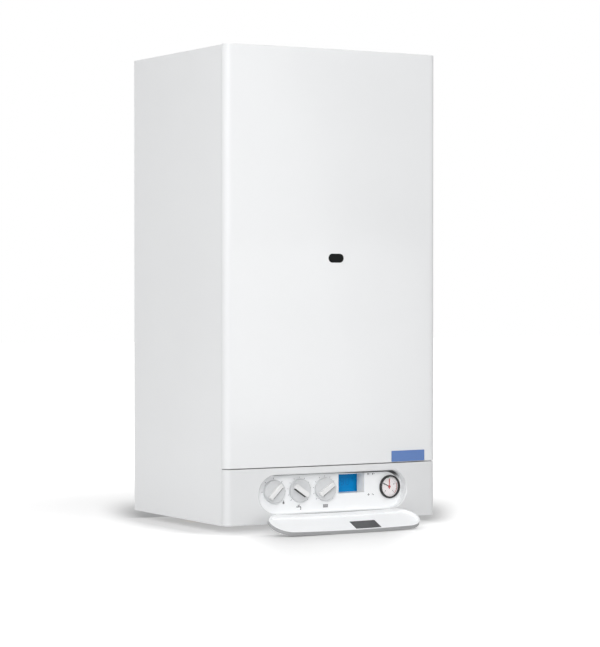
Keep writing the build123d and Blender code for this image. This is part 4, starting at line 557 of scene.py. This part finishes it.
def control_pictures():
    """A radiator, a tap and a flame by their knobs, and small marks between the display and the gauge."""
    form = bmesh.new()
    mode, hot_water, heating = KNOBS.values()
    pictures = (
        (heating.x + 0.0015, heating.z - PICTURE_DROP, RIBS + HEADERS, ()),
        (hot_water.x - 0.0005, hot_water.z - PICTURE_DROP, TAP_BODY + TAP_HANDLE, DROP),
        (mode.x + MODE_PICTURE, mode.z - MODE_PICTURE, FLAME_TIP, FLAME_BASE),
        (0.0755, DOTS_Z, DASH, DOT),
        (0.0845, DOTS_Z, DASH, DOT),
        (0.0765, PLUS_Z, PLUS, ()),
        (0.0850, PLUS_Z, SLANT, ()),
    )
    for x, z, bars, discs in pictures:
        picture(form, (x, FLOOR_PRINT_Y, z), bars, discs)
    piece("control_pictures", form, "casing", "hand_black", moulded("picture_grey", (0.16, 0.16, 0.17), 0.5))


# A figure's strokes: across and up in halves of its width, and the turn.
HALF_FIGURE, STROKE_WIDE, STROKE_LONG = 0.003, 0.0009, 0.0046
STROKES = {
    "a": (0, 2, 90), "b": (1, 1, 0), "c": (1, -1, 0), "d": (0, -2, 90),
    "e": (-1, -1, 0), "f": (-1, 1, 0), "g": (0, 0, 90),
}
# The two figures: which strokes are lit, and how far across from the display's middle. They lie this much
# higher than it, and this far in front of it.
FIGURES = (("abcdfg", -0.004), ("abcdef", 0.0065))
FIGURES_UP, SEGMENT_GAP = 0.002, 0.00005
# A symbol on each side of the figures.
SYMBOLS_ASIDE = 0.016
SYMBOL_STEM, SYMBOL_HEAD = ((0, 0.0025, 0.0008, 0.003, 0),), ((0, 0.006, 0.0016, 16),)


def stroke(part):
    """One stroke of a figure, as a bar about the figure's middle."""
    across, up, turn = STROKES[part]
    return across * HALF_FIGURE, up * HALF_FIGURE, STROKE_WIDE, STROKE_LONG, turn


def display_segments():
    """Darker figures on the display: a temperature and two small symbols."""
    form = bmesh.new()
    middle = DISPLAY - Vector((0, PRINT / 2 + SEGMENT_GAP, 0))
    for lit, across in FIGURES:
        picture(form, middle + Vector((across, 0, FIGURES_UP)), [stroke(part) for part in lit])
    for across in (-SYMBOLS_ASIDE, SYMBOLS_ASIDE):
        picture(form, middle + Vector((across, 0, 0)), SYMBOL_STEM, SYMBOL_HEAD)
    ink = Paint("segment_blue", (0.0, 0.14, 0.44), 0.3, Specular_IOR_Level=0.1)
    piece("display_segments", form, "casing", "display_blue", ink)


# ---------------------------------------------------------------- marks on the gauge's dial

DIAL_START, DIAL_SWEEP, DIAL_BARS, TICKS_PER_BAR = -135, 270, 4, 5
# Radii of the ticks' outer ends, of the coloured arcs and of the numbers, and the numbers' height.
TICK_R, ARC_R, NUMBER_R, NUMBER_SIZE = 0.0142, 0.0152, 0.0100, 0.0036
WHOLE_TICK, SMALL_TICK = (0.0005, PRINT, 0.0022), (0.00028, PRINT, 0.0013)
# An arc's bars: about this many degrees each, meeting at this radius, with this overlap.
ARC_STEP, ARC_MEET_R, ARC_OVERLAP, ARC_WIDE = 6, 0.0150, 1.04, 0.0009
DIAL_CENTRE = GAUGE - Vector((0, PRINT / 2, 0))


def dial_angle(bars):
    """The pointer's angle at a pressure in bar, clockwise from the top in degrees."""
    return DIAL_START + DIAL_SWEEP / DIAL_BARS * bars


def dial_scale():
    """Ticks round the dial, longer at each whole bar."""
    form = bmesh.new()
    for n in range(DIAL_BARS * TICKS_PER_BAR + 1):
        size = SMALL_TICK if n % TICKS_PER_BAR else WHOLE_TICK
        angle = dial_angle(n / TICKS_PER_BAR)
        bar(form, around(DIAL_CENTRE, TICK_R - size[2] / 2, angle), size, angle)
    piece("dial_scale", form, "casing", "hand_black", moulded("dial_ink", INK_BLACK, 0.5))


def dial_arc(name, low, high, color, finish):
    """A coloured arc on the dial between two pressures."""
    form = bmesh.new()
    start, sweep = dial_angle(low), dial_angle(high) - dial_angle(low)
    steps = int(sweep / ARC_STEP)
    width = ARC_MEET_R * radians(sweep / steps) * ARC_OVERLAP
    for n in range(steps):
        angle = start + sweep * (n + 0.5) / steps
        bar(form, around(DIAL_CENTRE, ARC_R, angle), (width, PRINT, ARC_WIDE), angle)
    piece(name, form, "casing", finish, moulded(name + "_ink", color, 0.5))


def words(name, text, size, centre, body, finish, paint):
    """Short generic characters, raised by one print thickness and facing the front."""
    curve = bpy.data.curves.new(name, "FONT")
    curve.body, curve.size, curve.align_x, curve.align_y = text, size, "CENTER", "CENTER"
    curve.extrude = PRINT / 2
    holder = bpy.data.objects.new(name, curve)
    bpy.context.scene.collection.objects.link(holder)
    made = bpy.data.meshes.new_from_object(holder.evaluated_get(bpy.context.evaluated_depsgraph_get()))
    bpy.data.objects.remove(holder)
    form = bmesh.new()
    form.from_mesh(made)
    bmesh.ops.rotate(form, verts=form.verts, matrix=Matrix.Rotation(pi / 2, 3, "X"))
    bmesh.ops.translate(form, verts=form.verts, vec=centre)
    piece(name, form, body, finish, paint)


def dial_numbers():
    ink = moulded("number_ink", INK_BLACK, 0.5)
    for n in range(DIAL_BARS + 1):
        centre = around(DIAL_CENTRE, NUMBER_R, dial_angle(n))
        words(f"dial_number_{n}", str(n), NUMBER_SIZE, centre, "casing", "hand_black", ink)


# ---------------------------------------------------------------- screws on the flue collar

SCREWS, SCREW_RING_R = 6, 0.0595
# A screw's washer and its hexagon: radius, lower face, upper face and sides.
SCREW_PARTS = ((0.0052, 0, 0.0007, 24), (0.0040, 0.0007, 0.0034, 6))


def flange_screws():
    """Hexagon heads that hold the flue collar's flange to the casing's top."""
    form = bmesh.new()
    for n in range(SCREWS):
        angle = 2 * pi * (n + 0.5) / SCREWS
        x, y = SCREW_RING_R * cos(angle), COLLAR.y + FLANGE_R + SCREW_RING_R * sin(angle)
        for radius, low, high, sides in SCREW_PARTS:
            place = Matrix.Translation((x, y, FLANGE_TOP + (low + high) / 2))
            cylinder(form, place, radius, high - low, sides)
    piece("flange_screws", form, "casing", "zinc", drawn_metal("screw_zinc", ZINC, 0.25))


# ---------------------------------------------------------------- floor

# Its colour, half its width, and how far it lies under the lowest point of the flap.
FLOOR_GREY, FLOOR_HALF, FLOOR_DROP = (0.745, 0.745, 0.745), 12, 0.0003
# The floor gets whiter over these distances from the frame's upright axis, by this much.
FADE, FADE_LIFT = (0.25, 1.0), 0.35
# Under the casing a painted light makes the shadow lighter, from about its edge, by this much and more
# towards the front.
UNDER_EDGE, UNDER_LIFT, UNDER_FRONT = (-0.015, 0.022), 0.7, 0.9
# A place's depth is how far in front of the eye it lies, and its slope how far to the right, over its depth.
# The shadow's left and right limits are slopes, each with how softly it ends. It ends behind at these depths.
POOL_LEFT, LEFT_SOFT = -0.0707, (-0.0043, 0.0179)
POOL_RIGHT, RIGHT_SOFT = 0.0567, (-0.0034, 0.0128)
POOL_BACK = (4.116, 4.466)
# It also ends to the left of and in front of these, over this distance.
POOL_X, POOL_Y, FRONT_SOFT = -0.155, -0.23, (0, 0.14)
# The painted shadow ahead of the flap: where it starts, how it slants to the right, and its soft edges.
AHEAD_DEPTH, AHEAD_SLANT, AHEAD_SOFT = 3.735, 2.55, (-0.04, 0.01)
AHEAD_LEFT, AHEAD_RIGHT = (-0.036, -0.004), (0.033, 0.065)
# How dark it is, how much darker near its start, and how fast that falls off with the distance from there.
AHEAD_DARK, AHEAD_DARKER, AHEAD_FALL = 0.14, 0.31, 2.94


def from_eye(paint):
    """A place's slope and its depth."""
    x, y = paint.axis("X"), paint.axis("Y")
    across = (x - EYE.x) * cos(YAW) - (y - EYE.y) * sin(YAW)
    deep = (x - EYE.x) * sin(YAW) + (y - EYE.y) * cos(YAW)
    return across / deep, deep


def shadow_pool(x, y, slope, deep):
    """Where the floor's shadow shows: under the casing, close round it, and fanned out behind it."""
    left = (POOL_LEFT - slope).ramp(*LEFT_SOFT)
    right = (slope - POOL_RIGHT).ramp(*RIGHT_SOFT)
    front = length((POOL_X - x).at_least(0), (POOL_Y - y).at_least(0)).ramp(*FRONT_SOFT)
    return (1 - left) * (1 - right) * (1 - deep.ramp(*POOL_BACK)) * (1 - front)


def floor_paint():
    """Pale, with its shadow near the casing; for the eye and reflections a painted glow whitens it further
    out and lightens the shadow under the casing, and a painted shadow darkens it ahead of the flap.
    """
    paint = Paint("floor_white", FLOOR_GREY, 0.9, Specular_IOR_Level=0.0)
    x, y = paint.axis("X"), paint.axis("Y")
    slope, deep = from_eye(paint)
    far = length(x, y).ramp(*FADE) * FADE_LIFT
    outside = beyond(x, 0, CASING_HALF_X).at_least(beyond(y, -CASING_HALF_Y, CASING_HALF_Y))
    under = 1 - outside.ramp(*UNDER_EDGE)
    pool = shadow_pool(x, y, slope, deep) * (1 - under * (UNDER_LIFT - y * UNDER_FRONT))
    ahead = AHEAD_DEPTH - deep + slope.at_least(0) * AHEAD_SLANT
    strip = slope.ramp(*AHEAD_LEFT) * (1 - slope.ramp(*AHEAD_RIGHT)) * ahead.ramp(*AHEAD_SOFT)
    near = (1 - ahead * AHEAD_FALL).at_least(0)
    # The painted glow: held back where the shadow shows, lighter under the casing, and cut below its level
    # into a painted shadow ahead of the flap.
    lift = 0.5 - pool * 0.5 + far * (1 - strip) - strip * (AHEAD_DARK + near * near * AHEAD_DARKER)
    seen = paint.ray("Is Camera Ray") + paint.ray("Is Glossy Ray")
    glow = paint.node("ShaderNodeEmission", {}, {"Color": (1, 1, 1, 1), "Strength": lift * seen})
    both = paint.node("ShaderNodeAddShader", {}, {0: Wire(paint, paint.shader.outputs[0]), 1: glow})
    paint.put(paint.tree.nodes["Material Output"].inputs["Surface"], both)
    return paint


def floor():
    """The pale floor, a hair under the flap's tip."""
    form = bmesh.new()
    bmesh.ops.create_grid(form, x_segments=1, y_segments=1, size=FLOOR_HALF)
    bmesh.ops.translate(form, verts=form.verts, vec=(0, 0, model_box[0].z - FLOOR_DROP))
    mesh = bpy.data.meshes.new("floor")
    form.to_mesh(mesh)
    form.free()
    mesh.materials.append(floor_paint().material)
    made = bpy.data.objects.new("floor", mesh)
    bpy.context.scene.collection.objects.link(made)


# ---------------------------------------------------------------- light

STUDIO_LEVEL = 0.44
# Name, place, what it faces, width, height and power in watts.
LAMPS = (
    ("key", (-3.4, -6.4, 2.4), (0, -0.3, 0.4), 2.2, 2.2, 106),
    ("left_fill", (-5.5, -0.8, 1.3), (0, -0.2, 0.4), 3.0, 3.0, 57),
    ("corner_fill", (-1.6, -1.9, 0.9), (-0.2, -0.25, 0.45), 0.8, 0.8, 11.5),
    ("overhead", (0.2, -1.8, 2.6), (0, -0.35, 0.1), 1.5, 1.5, 17),
    ("low_right", (1.2, -2.4, 0.25), (0.1, -0.33, 0.2), 1.0, 0.5, 1.9),
)
# The panel whose slanting reflection crosses the front, turned by these degrees about its own axis.
REFLECTION = ("reflection", (1.035, -3.6, 0.292), (0, -0.33, 0.51), 1.6, 3.4, 12)
REFLECTION_TURN = 25


def lamp(name, place, aim, width, height, power, turn=0, only_gloss=False):
    light = bpy.data.lights.new(name, "AREA")
    light.shape, light.size, light.size_y, light.energy = "RECTANGLE", width, height, power
    holder = bpy.data.objects.new(name, light)
    bpy.context.scene.collection.objects.link(holder)
    facing = (Vector(aim) - Vector(place)).to_track_quat("-Z", "Y").to_matrix().to_4x4()
    holder.matrix_world = Matrix.Translation(place) @ facing @ Matrix.Rotation(radians(turn), 4, "Z")
    holder.visible_camera = False
    holder.visible_diffuse = not only_gloss


def surroundings():
    """Even studio light; the camera, reflections and clear pieces see a white backdrop."""
    world = bpy.data.worlds.new("studio")
    bpy.context.scene.world = world
    studio = Nodes(world)
    seen = studio.ray("Is Camera Ray").at_least(studio.ray("Is Transmission Ray"))
    share = seen.at_least(studio.ray("Is Glossy Ray"))
    sockets = {0: share, NUMBER_A: STUDIO_LEVEL, NUMBER_B: 1.0}
    background = studio.tree.nodes["Background"].inputs
    studio.put(background["Color"], (1, 1, 1, 1))
    studio.put(background["Strength"], studio.node("ShaderNodeMix", {"data_type": "FLOAT"}, sockets))


def light_up():
    surroundings()
    for row in LAMPS:
        lamp(*row)
    lamp(*REFLECTION, turn=REFLECTION_TURN, only_gloss=True)


bpy.context.scene.view_settings.view_transform = "Standard"
set_camera()
dress_casing()
dress_controls()
dress_works()
control_prints()
control_pictures()
dial_scale()
dial_numbers()
dial_arc("dial_green", 1, 2, (0.02, 0.32, 0.08), "board_green")
dial_arc("dial_red", 3, 4, SIGNAL_RED, "hand_red")
display_segments()
flange_screws()
floor()
light_up()
